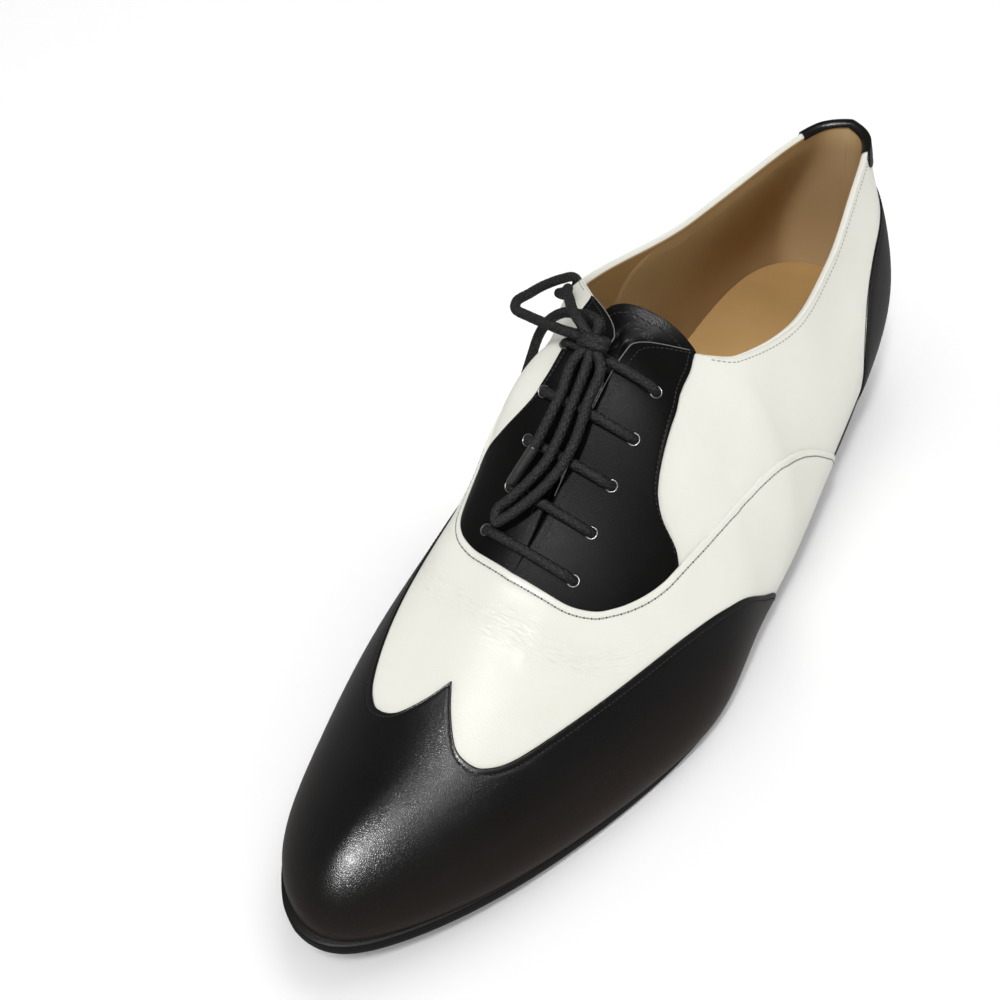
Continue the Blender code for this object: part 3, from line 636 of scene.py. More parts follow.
def stitches(name, seams, pitch, thick, thread):
    """Rows of short sewn stitches along seams, joined in one mesh."""
    verts, faces = [], []
    for route, normals in seams:
        gone = length_gone(route)
        keep = np.concatenate([[True], np.diff(gone) > 1e-6])
        gone, route, normals = gone[keep], route[keep], normals[keep]
        for middle in np.arange(pitch, gone[-1] - pitch / 2, pitch):
            spine = part_way(middle + STITCH_ALONG * pitch * STITCH_HALF_LENGTH, gone, route)
            up = part_way(middle, gone, normals)
            side = unit(np.cross(spine[-1] - spine[0], up))
            spine = spine - up * (STITCH_DIP * thick * STITCH_ALONG ** 2)[:, None]
            girth = (thick / 2 * STITCH_GIRTH)[:, None, None]
            base = len(verts)
            verts.extend((spine[:, None] + girth * spokes(thread_turn, side, unit(up))).reshape(-1, 3))
            last = base + THREAD_SIDES * (len(STITCH_ALONG) - 1)
            for ring in range(base, last, THREAD_SIDES):
                for j in range(THREAD_SIDES):
                    a, b = ring + j, ring + (j + 1) % THREAD_SIDES
                    faces.append((a, b, b + THREAD_SIDES, a + THREAD_SIDES))
            faces.append(tuple(base + j for j in reversed(range(THREAD_SIDES))))
            faces.append(tuple(last + j for j in range(THREAD_SIDES)))
    mesh = bpy.data.meshes.new(name)
    mesh.from_pydata(world(np.array(verts)).tolist(), [], faces)
    mesh.shade_smooth()
    return place_piece(mesh, [thread])


HOLE_RISE = 0.1
ASLANT = (0.3, 0.5, 0.8)


def needle_holes(name, seams, pitch, radius, material):
    """Small pricked dots between the stitches of seams, joined in one mesh."""
    verts, faces = [], []
    for route, normals in seams:
        gone = length_gone(route)
        for at in np.arange(pitch / 2, gone[-1], pitch):
            middle, up = part_way(at, gone, route), part_way(at, gone, normals)
            side = unit(np.cross(up, ASLANT))
            base = len(verts)
            verts.append(middle + HOLE_RISE * up)
            verts.extend(middle + radius * spokes(thread_turn, side, np.cross(up, side)))
            for j in range(THREAD_SIDES):
                faces.append((base, base + 1 + j, base + 1 + (j + 1) % THREAD_SIDES))
    mesh = bpy.data.meshes.new(name)
    mesh.from_pydata(world(np.array(verts)).tolist(), [], faces)
    return place_piece(mesh, [material])


# Thread plies: fine slanting bands of the strands twisted together.
PLY_DEPTH = 0.00005
PLY_SHADE = 0.6
thread_plies, plies_in, plies_out = new_group("thread_plies", (("Plies", 2200),), ("Twist",))
spot = add_node(thread_plies, "TexCoord", {})
bands = add_node(thread_plies, "TexWave", {
    "Vector": spot.outputs["Object"], "Scale": plies_in.outputs["Plies"], "Distortion": 1.5})
thread_plies.links.new(bands.outputs["Fac"], plies_out.inputs["Twist"])


def thread_material(name, colour):
    """Twisted sewing thread, darker in the grooves between its plies: painted shade."""
    material, tree, shader = new_finish(name, {"Roughness": 0.6})
    twist = add_node(tree, "Group", {}, node_tree=thread_plies).outputs["Twist"]
    tone = two_tones(tree, twist, (*[PLY_SHADE * c for c in colour], 1), (*colour, 1))
    bump = add_node(tree, "Bump", {"Height": twist, "Distance": PLY_DEPTH})
    tree.links.new(tone, shader.inputs["Base Color"])
    tree.links.new(bump.outputs["Normal"], shader.inputs["Normal"])
    return material


def vamp_lift(ribs, heights, inset):
    on_facing = ease((from_heel(ribs) - VAMP_LAP_FROM) / VAMP_LAP_RUN)
    puff = (VAMP_PUFF + VAMP_LAP_RISE * on_facing) * np.exp(-(inset / VAMP_EDGE_RUN) ** 2)
    return VAMP_LIFT + puff + creased(ribs, heights)


# Crinkle: fine folds in a band beside the middle of the seam, in metres.
CRINKLE_AT = 0.0125
CRINKLE_HALF_WIDTH = 0.0042
CRINKLE_END, CRINKLE_FULL = 0.052, 0.02
CRINKLE_PER_METRE = (330, 1250, 1)
CRINKLE_DEPTH = 0.0004
vamp_calf = leather("vamp_calf", WHITE_DEEP, WHITE_LIGHT,
                    roughness=0.3, cell=0.45, depth=0.014, coat=0.04, specular=0.2)
tree = vamp_calf.node_tree
seam_run = add_node(tree, "UVMap", {}, uv_map="seam_run").outputs["UV"]
streaks = add_node(tree, "Mapping", {"Vector": seam_run, "Scale": CRINKLE_PER_METRE})
crinkle = add_node(tree, "TexNoise", {
    "Vector": streaks.outputs["Vector"], "Scale": 1, "Detail": 2.5, "Distortion": 0.6})
seam_axes = add_node(tree, "SeparateXYZ", {"Vector": seam_run})
off_band = add_node(tree, "Math", {0: seam_axes.outputs["Y"], 1: CRINKLE_AT}, operation="SUBTRACT")
fades = []
for off, none_at, full_at in ((off_band.outputs[0], 2 * CRINKLE_HALF_WIDTH, 0),
                              (seam_axes.outputs["X"], CRINKLE_END, CRINKLE_FULL)):
    size = add_node(tree, "Math", {0: off}, operation="ABSOLUTE")
    fade = add_node(tree, "MapRange", {"Value": size.outputs[0], "From Min": none_at, "From Max": full_at},
                    interpolation_type="SMOOTHERSTEP")
    fades.append(fade.outputs["Result"])
creasing = add_node(tree, "Math", {0: fades[0], 1: fades[1]}, operation="MULTIPLY")
crinkled = add_node(tree, "Math", {0: creasing.outputs[0], 1: crinkle.outputs["Fac"]}, operation="MULTIPLY")
folds = add_node(tree, "Bump", {"Height": crinkled.outputs[0], "Distance": CRINKLE_DEPTH})
tree.links.new(folds.outputs["Normal"], tree.nodes["bump"].inputs["Normal"])
grey_thread = thread_material("grey_thread", (0.42, 0.41, 0.38))
vamp_halves = []
vamp_runs = []
vamp_seams = []
for height_column, mirror in ((1, False), (2, True)):
    front = np.array(VAMP_FRONT)[:, [0, height_column, 3, 4]]
    table = np.concatenate([VAMP_REAR, front])
    line = line_at(table, np.linspace(0, len(table) - 1, 201))
    line = np.clip(line, (0, 0, 0, 0), (LOOP, 1, LOOP, 1))
    if mirror:
        line[:, [0, 2]] = LOOP - line[:, [0, 2]]
    rows_at = straight_rows(line[:, :2], line[:, 2:])
    half = sheet_grid(rows_at, len(line), vamp_lift, FOLDED_EDGE, 80)
    along = np.linalg.norm(np.diff(half[:, FOLD_ROW + 1], axis=0), axis=1)
    along = np.concatenate([np.cumsum(along[::-1])[::-1], [0]]) * (1 if mirror else -1)
    steps = np.linalg.norm(np.diff(half, axis=1), axis=2)
    inset = np.concatenate([np.zeros((len(half), 1)), np.cumsum(steps, axis=1)], 1)
    inset = inset - inset[:, FOLD_ROW:FOLD_ROW + 1]
    run = np.stack([np.broadcast_to(along[:, None], inset.shape), inset], -1) * MM
    vamp_runs.append(run[::-1] if mirror else run)
    seam = stitch_line(rows_at, len(line), VAMP_STITCH_INSET, vamp_lift)
    vamp_halves.append(half[::-1] if mirror else half)
    vamp_seams.append([part[::-1] if mirror else part for part in seam])
vamp = grid_piece("vamp_sheet", np.concatenate([vamp_halves[0], vamp_halves[1][1:]]), [vamp_calf],
                  run=np.concatenate([vamp_runs[0], vamp_runs[1][1:]]))
vamp_seam = [np.concatenate([outer, inner[1:]]) for outer, inner in zip(*vamp_seams)]
vamp_stitches = stitches("vamp_stitches", [vamp_seam], pitch=VAMP_STITCH_PITCH, thick=0.4, thread=grey_thread)
hole_shade = leather("hole_shade", (0.03, 0.03, 0.027), (0.05, 0.05, 0.046),
                     roughness=0.9, cell=0.2, depth=0.01)
vamp_holes = needle_holes("vamp_needle_holes", [vamp_seam], VAMP_STITCH_PITCH, 0.27, hole_shade)

# Topline stitching: one row of cream thread that holds the folded edge of the
# collar, from the facing round the back to the other facing.
TOPLINE_STITCH_DROP = 2.1
TOPLINE_STITCH_LIFT = 0.06
TOPLINE_STITCH_END = 5.3


def quarter_lift(ribs, heights, inset):
    return creased(ribs, heights)


collar_ribs = np.linspace(-TOPLINE_STITCH_END, TOPLINE_STITCH_END, 260)
collar_rows = straight_rows(np.stack([collar_ribs, np.ones_like(collar_ribs)], -1),
                            np.stack([collar_ribs, np.zeros_like(collar_ribs)], -1))
collar_seam = stitch_line(collar_rows, len(collar_ribs), TOPLINE_STITCH_DROP, quarter_lift,
                          -TOPLINE_STITCH_LIFT, 1.0)
cream_thread = thread_material("cream_thread", (0.55, 0.52, 0.45))
topline_stitches = stitches("topline_stitches", [collar_seam], pitch=1.6, thick=0.36, thread=cream_thread)

# Wing cap: black calf with a fine grain, cut to a point with two scallops and
# sewn over the vamp.  Its colour turns a warm brown black towards the sole.
WING_LIFT = 1.25
WING_PUFF, WING_EDGE_RUN = 0.1, 6
CUT_SEAM_INSET, CUT_SEAM_SINK = 1.4, 0.02
PLAN_SLACK = (-0.03, 1.05)
# Edge: rib and height, and the rib at the sole that its row runs to.
WING = (
    (5.45, 0.0, 5.45),
    (5.66, 0.125, 5.8),
    (6.28, 0.285, 6.28),
    (6.8, 0.37, 6.8),
    (7.4, 0.43, 7.4),
    (8.08, 0.475, 8.08),
    (8.64, 0.507, 8.65),
    (9.14, 0.545, 9.2),
    (9.54, 0.59, 9.7),
    (9.77, 0.65, 10.15),
    (9.87, 0.71, 10.5),
    (9.92, 0.785, 10.9),
    (9.89, 0.85, 11.25),
    (9.76, 0.935, 11.65),
    (9.58, 1.0, 12.0),
)
# Section of a cut edge: inset from the cut and drop below the sheet.
CUT_EDGE = ((0.0, 1.2), (0.0, 0.45), (0.04, 0.2), (0.12, 0.06), (0.3, 0.0), (0.7, 0.0), (1.0, 0.03),
            (1.25, 0.09), (1.4, 0.11), (1.55, 0.09), (1.8, 0.03), (2.4, 0.0), (4.0, 0.0))


def flat_plan(u, v):
    """The upper laid flat, each rib a straight line from its top to the sole."""
    foot, _, _, top = rib_handles(np.asarray(u, float), 0.0)
    v = np.asarray(v, float)[..., None]
    return (foot + v * (top - foot))[..., :2]


plan_ribs = np.linspace(0, LOOP, 1441)
plan_foot = flat_plan(plan_ribs, np.zeros_like(plan_ribs))
plan_top = flat_plan(plan_ribs, np.ones_like(plan_ribs))


def locate(spot):
    """Rib and height of a spot on the flat plan of the forefoot."""
    along = plan_foot - plan_top
    off = np.asarray(spot) - plan_top
    turn = along[:, 0] * off[:, 1] - along[:, 1] * off[:, 0]
    share = (off * along).sum(1) / (along * along).sum(1)
    on_rib = (share[:-1] > PLAN_SLACK[0]) & (share[:-1] < PLAN_SLACK[1])
    first = np.nonzero((turn[:-1] * turn[1:] <= 0) & on_rib)[0]
    i = first[np.argmin(np.abs(share[first] - np.clip(share[first], 0, 1)))]
    t = turn[i] / (turn[i] - turn[i + 1]) if turn[i] != turn[i + 1] else 0.0
    rib = plan_ribs[i] + t * (plan_ribs[i + 1] - plan_ribs[i])
    return rib, float(np.clip(1 - (share[i] + t * (share[i + 1] - share[i])), 0, 1))


def plan_rows(edge, under):
    """Ribs and heights on rows that are straight on the flat plan."""
    def at(share):
        spots = edge[:, None] + share[..., None] * (under - edge)[:, None]
        found = np.array([locate(spot) for spot in spots.reshape(-1, 2)]).reshape(*share.shape, 2)
        return found[..., 0], found[..., 1]
    return at


# Warm tint: a warm brown that comes up from the sole; heights in metres.
sole_warm_tint, warm_tint_in, warm_tint_out = new_group(
    "sole_warm_tint", (("Start Height", 0.026), ("Full Height", 0.006)), ("Mask",))
spot = add_node(sole_warm_tint, "TexCoord", {})
axes = add_node(sole_warm_tint, "SeparateXYZ", {"Vector": spot.outputs["Object"]})
near_sole = add_node(sole_warm_tint, "MapRange", {
    "Value": axes.outputs["Z"],
    "From Min": warm_tint_in.outputs["Start Height"],
    "From Max": warm_tint_in.outputs["Full Height"]})
sole_warm_tint.links.new(near_sole.outputs["Result"], warm_tint_out.inputs["Mask"])


def black_leather(name, cell, depth, roughness, specular):
    """Black calf: deep tone and a fine grain, tinted warm brown near the sole."""
    material = leather(name, (0.0035, 0.0033, 0.0031), (0.006, 0.0056, 0.0052), roughness, cell, depth,
                       specular=specular)
    warm_tint = add_node(material.node_tree, "Group", {}, node_tree=sole_warm_tint)
    lay_over(material, warm_tint.outputs["Mask"], (0.018, 0.0085, 0.004))
    return material


def wing_lift(ribs, heights, inset):
    return WING_LIFT + WING_PUFF * np.exp(-(inset / WING_EDGE_RUN) ** 2)


black_calf = black_leather("black_calf", cell=0.42, depth=0.017, roughness=0.28, specular=0.4)
black_thread = thread_material("black_thread", (0.022, 0.022, 0.022))
wing_steps = np.concatenate([np.linspace(0, 6, 61)[:-1], np.linspace(6, len(WING) - 1, 81)])
wing_rib, wing_height, wing_sole = np.array(WING).T
wing_outer = flat_plan(wing_rib, wing_height)
wing_inner = flat_plan(LOOP - wing_rib, wing_height)
wing_edge = np.concatenate([line_at(wing_outer, wing_steps), line_at(wing_inner, wing_steps)[-2::-1]])
sole_rib = np.interp(wing_steps, np.arange(len(WING)), wing_sole)
sole_rib = np.concatenate([sole_rib, LOOP - sole_rib[-2::-1]])
wing_rows = plan_rows(wing_edge, flat_plan(sole_rib, np.zeros_like(sole_rib)))
wing_grid = sheet_grid(wing_rows, len(wing_edge), wing_lift, CUT_EDGE, 44)
wing = grid_piece("wing_leather", wing_grid, [black_calf])
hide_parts("wing_cap")
wing_seam = stitch_line(wing_rows, len(wing_edge), CUT_SEAM_INSET, wing_lift, CUT_SEAM_SINK)
wing_stitches = stitches("wing_stitches", [wing_seam], pitch=1.2, thick=0.32, thread=black_thread)

# Heel counter: the same black calf, sewn over the back of the quarters from
# the sole up to a curved top edge.
PANEL_LIFT = 0.8
PANEL_SKIVE, PANEL_EDGE_RUN = 0.25, 2.5
# Top edge: rib and height.
COUNTER = ((0.0, 0.80), (0.6, 0.745), (1.1, 0.68), (1.56, 0.637), (1.92, 0.61), (2.28, 0.555),
           (2.54, 0.475), (2.74, 0.36), (2.84, 0.22), (2.88, 0.0))
COUNTER_FAN = 0.78


def panel_lift(ribs, heights, inset):
    return PANEL_LIFT - PANEL_SKIVE * np.exp(-(inset / PANEL_EDGE_RUN) ** 2)


counter_line = line_at(COUNTER, np.linspace(0, len(COUNTER) - 1, 91))
counter_line = np.clip(counter_line, 0, None)
counter_line = np.concatenate([counter_line[:0:-1] * (-1, 1), counter_line])
counter_foot = np.stack([COUNTER_FAN * counter_line[:, 0], np.zeros(len(counter_line))], -1)
counter_rows = straight_rows(counter_line, counter_foot)
counter_grid = sheet_grid(counter_rows, len(counter_line), panel_lift, CUT_EDGE, 34)
counter = grid_piece("counter_leather", counter_grid[::-1], [black_calf])
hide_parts("heel_counter")
counter_seam = stitch_line(counter_rows, len(counter_line), CUT_SEAM_INSET, panel_lift, CUT_SEAM_SINK)
counter_stitches = stitches("counter_stitches", [counter_seam], pitch=1.2, thick=0.32, thread=black_thread)

# Heel tab: a narrow strip of black calf that wraps over the back of the
# topline and is sewn to both sides of it.
TAB_TOP_SHARE = 0.97
# Lower edge: rib and height.
TAB = ((0.0, 0.86), (0.7, 0.875), (1.2, 0.90), (1.36, 0.93), (1.4, 0.985))
# Wrap over the topline: lift off the upper's face and rise above its top.
TAB_OVER = ((0.78, 0.2), (0.66, 0.5), (0.3, 0.78), (-0.3, 0.92), (-0.9, 0.88), (-1.4, 0.66), (-1.75, 0.3),
            (-1.95, -0.2), (-2.0, -0.6))
tab_line = line_at(TAB, np.linspace(0, len(TAB) - 1, 41))
tab_line = np.concatenate([tab_line[:0:-1] * (-1, 1), tab_line])
tab_top = np.stack([TAB_TOP_SHARE * tab_line[:, 0], np.ones(len(tab_line))], -1)
tab_rows = straight_rows(tab_line, tab_top)
tab_grid = sheet_grid(tab_rows, len(tab_line), panel_lift, CUT_EDGE, 6, 1.0)
tab_rim = [upper_at(tab_top[:, 0], 1.0, lift) + UPWARD * rise for lift, rise in TAB_OVER]
tab = grid_piece("tab_leather", np.concatenate([tab_grid, np.stack(tab_rim, 1)], 1), [black_calf])
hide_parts("heel_tab")

# Lace facings: black calf on both sides of the slit, sewn over the quarters
# and tucked under the vamp.  A thin pale grey bead runs along each cut edge at the slit: a painted highlight
# on the rounded edge.
FACING_LIFT = 1.0
FACING_SINK = 0.45
FACING_CREASE_SHARE = 0.5
UNDER_VAMP_HEIGHT, UNDER_VAMP_FADE = 0.66, 0.08
UNDER_VAMP_RIB, UNDER_VAMP_RUN = 6.9, 0.2
FACING_SEAM_INSET, SLIT_SEAM_INSET = 1.5, 2.4
BEAD_RADIUS, BEAD_SINK, BEAD_OUT = 0.17, 0.08, 0.02
HIGHEST_EDGE = 0.995
# Outer edge: rib, height on the outer and the inner side, and the rib at the slit.
FACING = (
    (5.40, 0.985, 0.99, 5.42),
    (5.62, 0.884, 0.90, 5.7),
    (5.84, 0.832, 0.882, 5.9),
    (6.08, 0.811, 0.877, 6.08),
    (6.29, 0.802, 0.875, 6.24),
    (6.48, 0.790, 0.866, 6.38),
    (6.64, 0.775, 0.848, 6.52),
    (6.77, 0.758, 0.826, 6.64),
    (6.885, 0.735, 0.775, 6.78),
    (6.985, 0.690, 0.695, 6.95),
    (7.05, 0.606, 0.61, 7.15),
    (7.25, 0.558, 0.558, 7.45),
    (7.66, 0.578, 0.578, 7.75),
    (8.06, 0.648, 0.648, 8.0),
    (8.29, 0.735, 0.735, 8.2),
    (8.42, 0.855, 0.855, 8.36),
    (8.52, 0.985, 0.985, 8.52),
)
SEAM_UNDER_VAMP = 84
# Edge at the slit: lift off the upper's face and reach into the slit.
FACING_RIM = ((0.9, 0.05), (0.7, 0.11), (0.3, 0.14), (-0.5, 0.16), (-1.3, 0.14), (-1.95, 0.05))


def facing_lift(ribs, heights, inset):
    below = np.clip((UNDER_VAMP_HEIGHT - heights) / UNDER_VAMP_FADE, 0, 1)
    in_front = np.clip((from_heel(ribs) - UNDER_VAMP_RIB) / UNDER_VAMP_RUN, 0, 1)
    return FACING_LIFT - FACING_SINK * below * in_front + FACING_CREASE_SHARE * creased(ribs, heights)


# Pale grey of the beads along the slit edges: a painted highlight.
painted_highlight_edge = leather("painted_highlight_cut_edge", (0.12, 0.115, 0.11), (0.26, 0.25, 0.24),
                    roughness=0.6, cell=0.5, depth=0.03)


def capped(tube, route):
    """Tube whose ends close on the end points of its route."""
    start, stop = [np.broadcast_to(route[i], (1, *tube.shape[1:])) for i in (0, -1)]
    return np.concatenate([start, tube, stop])


def fine_tube(name, route, radius, material):
    """Thin round bead along a line."""
    run = unit(np.gradient(route, axis=0))
    side = unit(np.cross(run, UPWARD))
    turn = np.linspace(0, 2 * math.pi, 9)
    tube = route[:, None] + radius * spokes(turn, side, np.cross(run, side))
    return grid_piece(name, capped(tube, route), [material])


facing_calf = black_leather("facing_calf", cell=0.45, depth=0.02, roughness=0.42, specular=0.08)
facing_seams = []
for side, height_column, bead_end in (("lateral", 1, 172), ("medial", 2, 150)):
    on_outer = side == "lateral"
    line = line_at(FACING, np.linspace(0, len(FACING) - 1, 131))
    ribs, slit_ribs = (line[:, [0, 3]] if on_outer else LOOP - line[:, [0, 3]]).T
    edge = np.stack([ribs, np.clip(line[:, height_column], 0, HIGHEST_EDGE)], -1)
    slit_line = np.stack([slit_ribs, np.ones(len(line))], -1)
    rows_at = straight_rows(edge, slit_line)
    face = sheet_grid(rows_at, len(line), facing_lift, CUT_EDGE, 30, 1.0)
    inward = np.array([-1.0 if on_outer else 1.0, 0, 0])
    rim = [upper_at(slit_ribs, 1.0, lift) + inward * reach for lift, reach in FACING_RIM]
    grid = np.concatenate([face, np.stack(rim, 1)], 1)
    facing = grid_piece("facing_leather_" + side, grid if on_outer else grid[::-1], [facing_calf])
    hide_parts("facing_" + side)
    outer_seam = stitch_line(rows_at, len(line), FACING_SEAM_INSET, facing_lift, CUT_SEAM_SINK, 1.0)
    facing_seams.append([part[:SEAM_UNDER_VAMP] for part in outer_seam])
    # Pale bead along the slit edge: a painted highlight.
    bead = upper_at(slit_ribs, 1.0, FACING_LIFT - BEAD_SINK) + inward * BEAD_OUT
    bead = bead[bead[:, 1] < bead_end]
    fine_tube("facing_edge_highlight_" + side, bead, BEAD_RADIUS, painted_highlight_edge)
    slit_rows = straight_rows(slit_line, edge)
    slit_seam = stitch_line(slit_rows, len(line), SLIT_SEAM_INSET, facing_lift, -CUT_SEAM_SINK, 1.0)
    facing_seams.append(slit_seam)
facing_stitches = stitches("facing_stitches", facing_seams, pitch=1.3, thick=0.33, thread=black_thread)

# Tongue: one flap of thinner black calf under the facings that arches over the
# instep behind them, with a row of stitching round its top.
TONGUE_THICK = 1.6
TONGUE_DROP = 2.7
TONGUE_ROUNDING = 0.5
TONGUE_SEAM_DROP, TONGUE_SEAM_LIFT = 3.0, 0.12
ARCH_SHARES = np.array([0.08, 0.2, 0.35, 0.5, 0.65, 0.8, 0.92])[:, None]
ARCH_FLATNESS = 2.6
# Rows from the top down: rib, height of the sides, rise of the arch, lean of the outer side.
TONGUE = (
    (5.45, 0.95, 7.5, 0.17),
    (5.55, 0.92, 5.2, 0.14),
    (5.65, 0.89, 3.4, 0.10),
    (5.78, 0.85, 1.8, 0.06),
    (5.92, 0.80, 0.6, 0.03),
    (6.1, 0.75, 0, 0),
    (6.4, 0.72, 0, 0),
    (6.8, 0.70, 0, 0),
    (7.2, 0.70, 0, 0),
    (7.6, 0.72, 0, 0),
    (8.0, 0.80, 0, 0),
    (8.2, 0.90, 0, 0),
)


def smooth_line(points, count):
    """Evenly stepped points on a curve through given ones."""
    points = np.asarray(points, float)
    gone = length_gone(points)
    rate = np.gradient(points, gone, axis=0)
    at = np.linspace(0, gone[-1], count)
    i = np.clip(np.searchsorted(gone, at, side="right") - 1, 0, len(gone) - 2)
    step = (gone[i + 1] - gone[i])[:, None]
    t = ((at - gone[i]) / step[:, 0])[:, None]
    return blend(t, points[i], rate[i] * step, points[i + 1], rate[i + 1] * step)


tongue_rows = []
for rib, side, crown, lean in TONGUE:
    climb = np.linspace(side, 1, 6)
    outer = upper_at(rib - lean, climb, -TONGUE_DROP, 0.0)
    inner = upper_at(LOOP - rib, climb[::-1], -TONGUE_DROP, 0.0)
    rise = crown * (1 - np.abs(2 * ARCH_SHARES - 1) ** ARCH_FLATNESS)
    arch = outer[-1] + ARCH_SHARES * (inner[0] - outer[-1]) + rise * UPWARD
    crest = (outer[-1:] + inner[:1]) / 2
    over_gap = [outer, arch, inner] if crown > 0 else [outer[:-1], crest, inner[1:]]
    tongue_rows.append(smooth_line(np.concatenate(over_gap), 49))
tongue_rows = np.array(tongue_rows)
tongue_steps = np.linspace(0, len(TONGUE) - 1, 89)
tongue_face = line_at(tongue_rows.reshape(len(TONGUE), -1), tongue_steps).reshape(len(tongue_steps), -1, 3)
tongue_calf = black_leather("tongue_calf", cell=0.5, depth=0.03, roughness=0.36, specular=0.24)
tongue = grid_piece("tongue_leather", tongue_face, [tongue_calf])
shell = tongue.modifiers.new("thickness", "SOLIDIFY")
shell.thickness = TONGUE_THICK * MM
shell.offset = -1
rounding = tongue.modifiers.new("rounded_edge", "BEVEL")
rounding.width = TONGUE_ROUNDING * MM
rounding.segments = 2
rounding.angle_limit = math.radians(60)
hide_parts("tongue")
across, down = np.gradient(tongue_face, axis=1), np.gradient(tongue_face, axis=0)
tongue_normal = unit(np.cross(down, across))
top_edge = np.linalg.norm(np.cumsum(down, axis=0), axis=-1)
seam_row = np.argmin(np.abs(top_edge - TONGUE_SEAM_DROP), axis=0)
columns = np.arange(3, tongue_face.shape[1] - 3)
on_seam = (seam_row[columns], columns)
tongue_seam = (tongue_face[on_seam] + TONGUE_SEAM_LIFT * tongue_normal[on_seam], tongue_normal[on_seam])
tongue_stitches = stitches("tongue_stitches", [tongue_seam], pitch=1.7, thick=0.4, thread=black_thread)

# Eyelets: plain grey metal rings set from behind, so that only a thin lip of
# each shows round the lace.
EYELET_RADIUS = 1.5
EYELET_WIRE = 0.19
EYELET_PROUD = 0.06
# Lace holes from the toe up: rib and height.
EYELETS = ((8.09, 0.819), (7.65, 0.848), (7.2, 0.861), (6.72, 0.869), (6.18, 0.88))
eyelet_metal, tree, shader = new_finish("eyelet_metal", {"Metallic": 1, "Base Color": (0.3, 0.3, 0.3, 1)})
scratch = add_node(tree, "TexNoise", {"Scale": 4000})
dull = add_node(tree, "MapRange", {"Value": scratch.outputs["Fac"], "To Min": 0.28, "To Max": 0.5})
tree.links.new(dull.outputs["Result"], shader.inputs["Roughness"])
turn = np.linspace(0, 2 * math.pi, 33)
lip = np.linspace(0, 2 * math.pi, 13)[:, None]
for tag, mirror in (("lat", False), ("med", True)):
    for count, (rib, height) in enumerate(EYELETS, 1):
        rib = LOOP - rib if mirror else rib
        middle = upper_at(rib, height, FACING_LIFT + EYELET_PROUD)
        normal = outward(rib, height, 1.0)
        side = unit(np.cross(normal, (0.0, 1.0, 0.0)))
        reach = EYELET_RADIUS + EYELET_WIRE * np.cos(lip)
        ring = middle + spokes(turn, side, np.cross(normal, side))[:, None] * reach
        ring = ring + EYELET_WIRE * np.sin(lip) * normal
        eyelet = grid_piece("eyelet_ring_%s_%d" % (tag, count), ring, [eyelet_metal])
        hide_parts("eyelet_%s_%d" % (tag, count))

# Lace: round braided cotton cord, drawn straight across through each pair of
# eyelets.
LACE = 2.6
PLAIT_PITCH = 2.2
PLAIT_RISE = 0.13
PLAIT_STRANDS = 7
PLAIT_SINK = 0.55
CORD_SIDES = 36
CORD_STEP, CORD_FEWEST = 0.22, 12
lace_cotton, tree, shader = new_finish("lace_cotton", {"Roughness": 0.62, "Specular IOR Level": 0.4})
spot = add_node(tree, "TexCoord", {})
fibres = add_node(tree, "TexNoise", {"Vector": spot.outputs["Object"], "Scale": 3400, "Detail": 2})
# Paler flecks on the raised fibres: painted glints of the weave.
painted_glints = add_node(tree, "MapRange", {"Value": fibres.outputs["Fac"], "From Min": 0.5, "From Max": 0.72},
                  interpolation_type="SMOOTHSTEP")
cotton_tone_and_glints = two_tones(tree, painted_glints.outputs["Result"], (0.002, 0.002, 0.002, 1), (0.045, 0.045, 0.045, 1))
fuzz = add_node(tree, "Bump", {"Height": fibres.outputs["Fac"], "Distance": 0.0003})
tree.links.new(cotton_tone_and_glints, shader.inputs["Base Color"])
tree.links.new(fuzz.outputs["Normal"], shader.inputs["Normal"])


def route_length(route):
    return np.linalg.norm(np.diff(np.asarray(route, float), axis=0), axis=1).sum()


def braided(name, points, thick=LACE):
    """Round braided cord along a smooth route, with closed ends."""
    route = smooth_line(points, max(CORD_FEWEST, int(route_length(points) / CORD_STEP)))
    run = unit(np.gradient(route, axis=0))
    side = np.cross(run[0], (0.3, 0.2, 0.9))
    sides = []
    for direction in run:
        side = unit(side - direction * (side @ direction))
        sides.append(side)
    sides = np.array(sides)
    turn = np.linspace(0, 2 * math.pi, CORD_SIDES)
    twist = 2 * math.pi * length_gone(route)[:, None] / PLAIT_PITCH
    one_way = np.cos(PLAIT_STRANDS * turn[None] + twist)
    other_way = np.cos(PLAIT_STRANDS * turn[None] - twist)
    radius = thick / 2 - PLAIT_RISE * PLAIT_SINK + PLAIT_RISE * np.maximum(one_way, other_way)
    tube = route[:, None] + radius[..., None] * spokes(turn, sides, np.cross(run, sides))
    piece = grid_piece(name, capped(tube, route), [lace_cotton])
    return piece, route


BAR_RISE = 1.25
BAR_BOW = np.array([0.0, 1.4, 2.6])
BAR_DIVE = (-1.4, -0.4, 0.7)
BAR_TUCK = 0.3
BAR_SHARES = np.array([0.06, 0.15, 0.3, 0.5, 0.7, 0.85, 0.94])[:, None]
for count, (rib, height) in enumerate(EYELETS, 1):
    hole_ribs = np.array([rib, LOOP - rib])
    holes = upper_at(hole_ribs, height, FACING_LIFT + BAR_RISE)
    over = holes[0] + BAR_SHARES * (holes[1] - holes[0]) + 4 * BAR_SHARES * (1 - BAR_SHARES) * BAR_BOW
    over[[0, -1]] -= BAR_TUCK * outward(hole_ribs, height, 1.0)
    down = [upper_at(rib, height, lift) for lift in BAR_DIVE]
    up = [upper_at(LOOP - rib, height, lift) for lift in BAR_DIVE[::-1]]
    bar, _ = braided("lace_bar_cord_%d" % count, np.concatenate([down, over, up]))
    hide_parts("lace_bar_%d" % count)

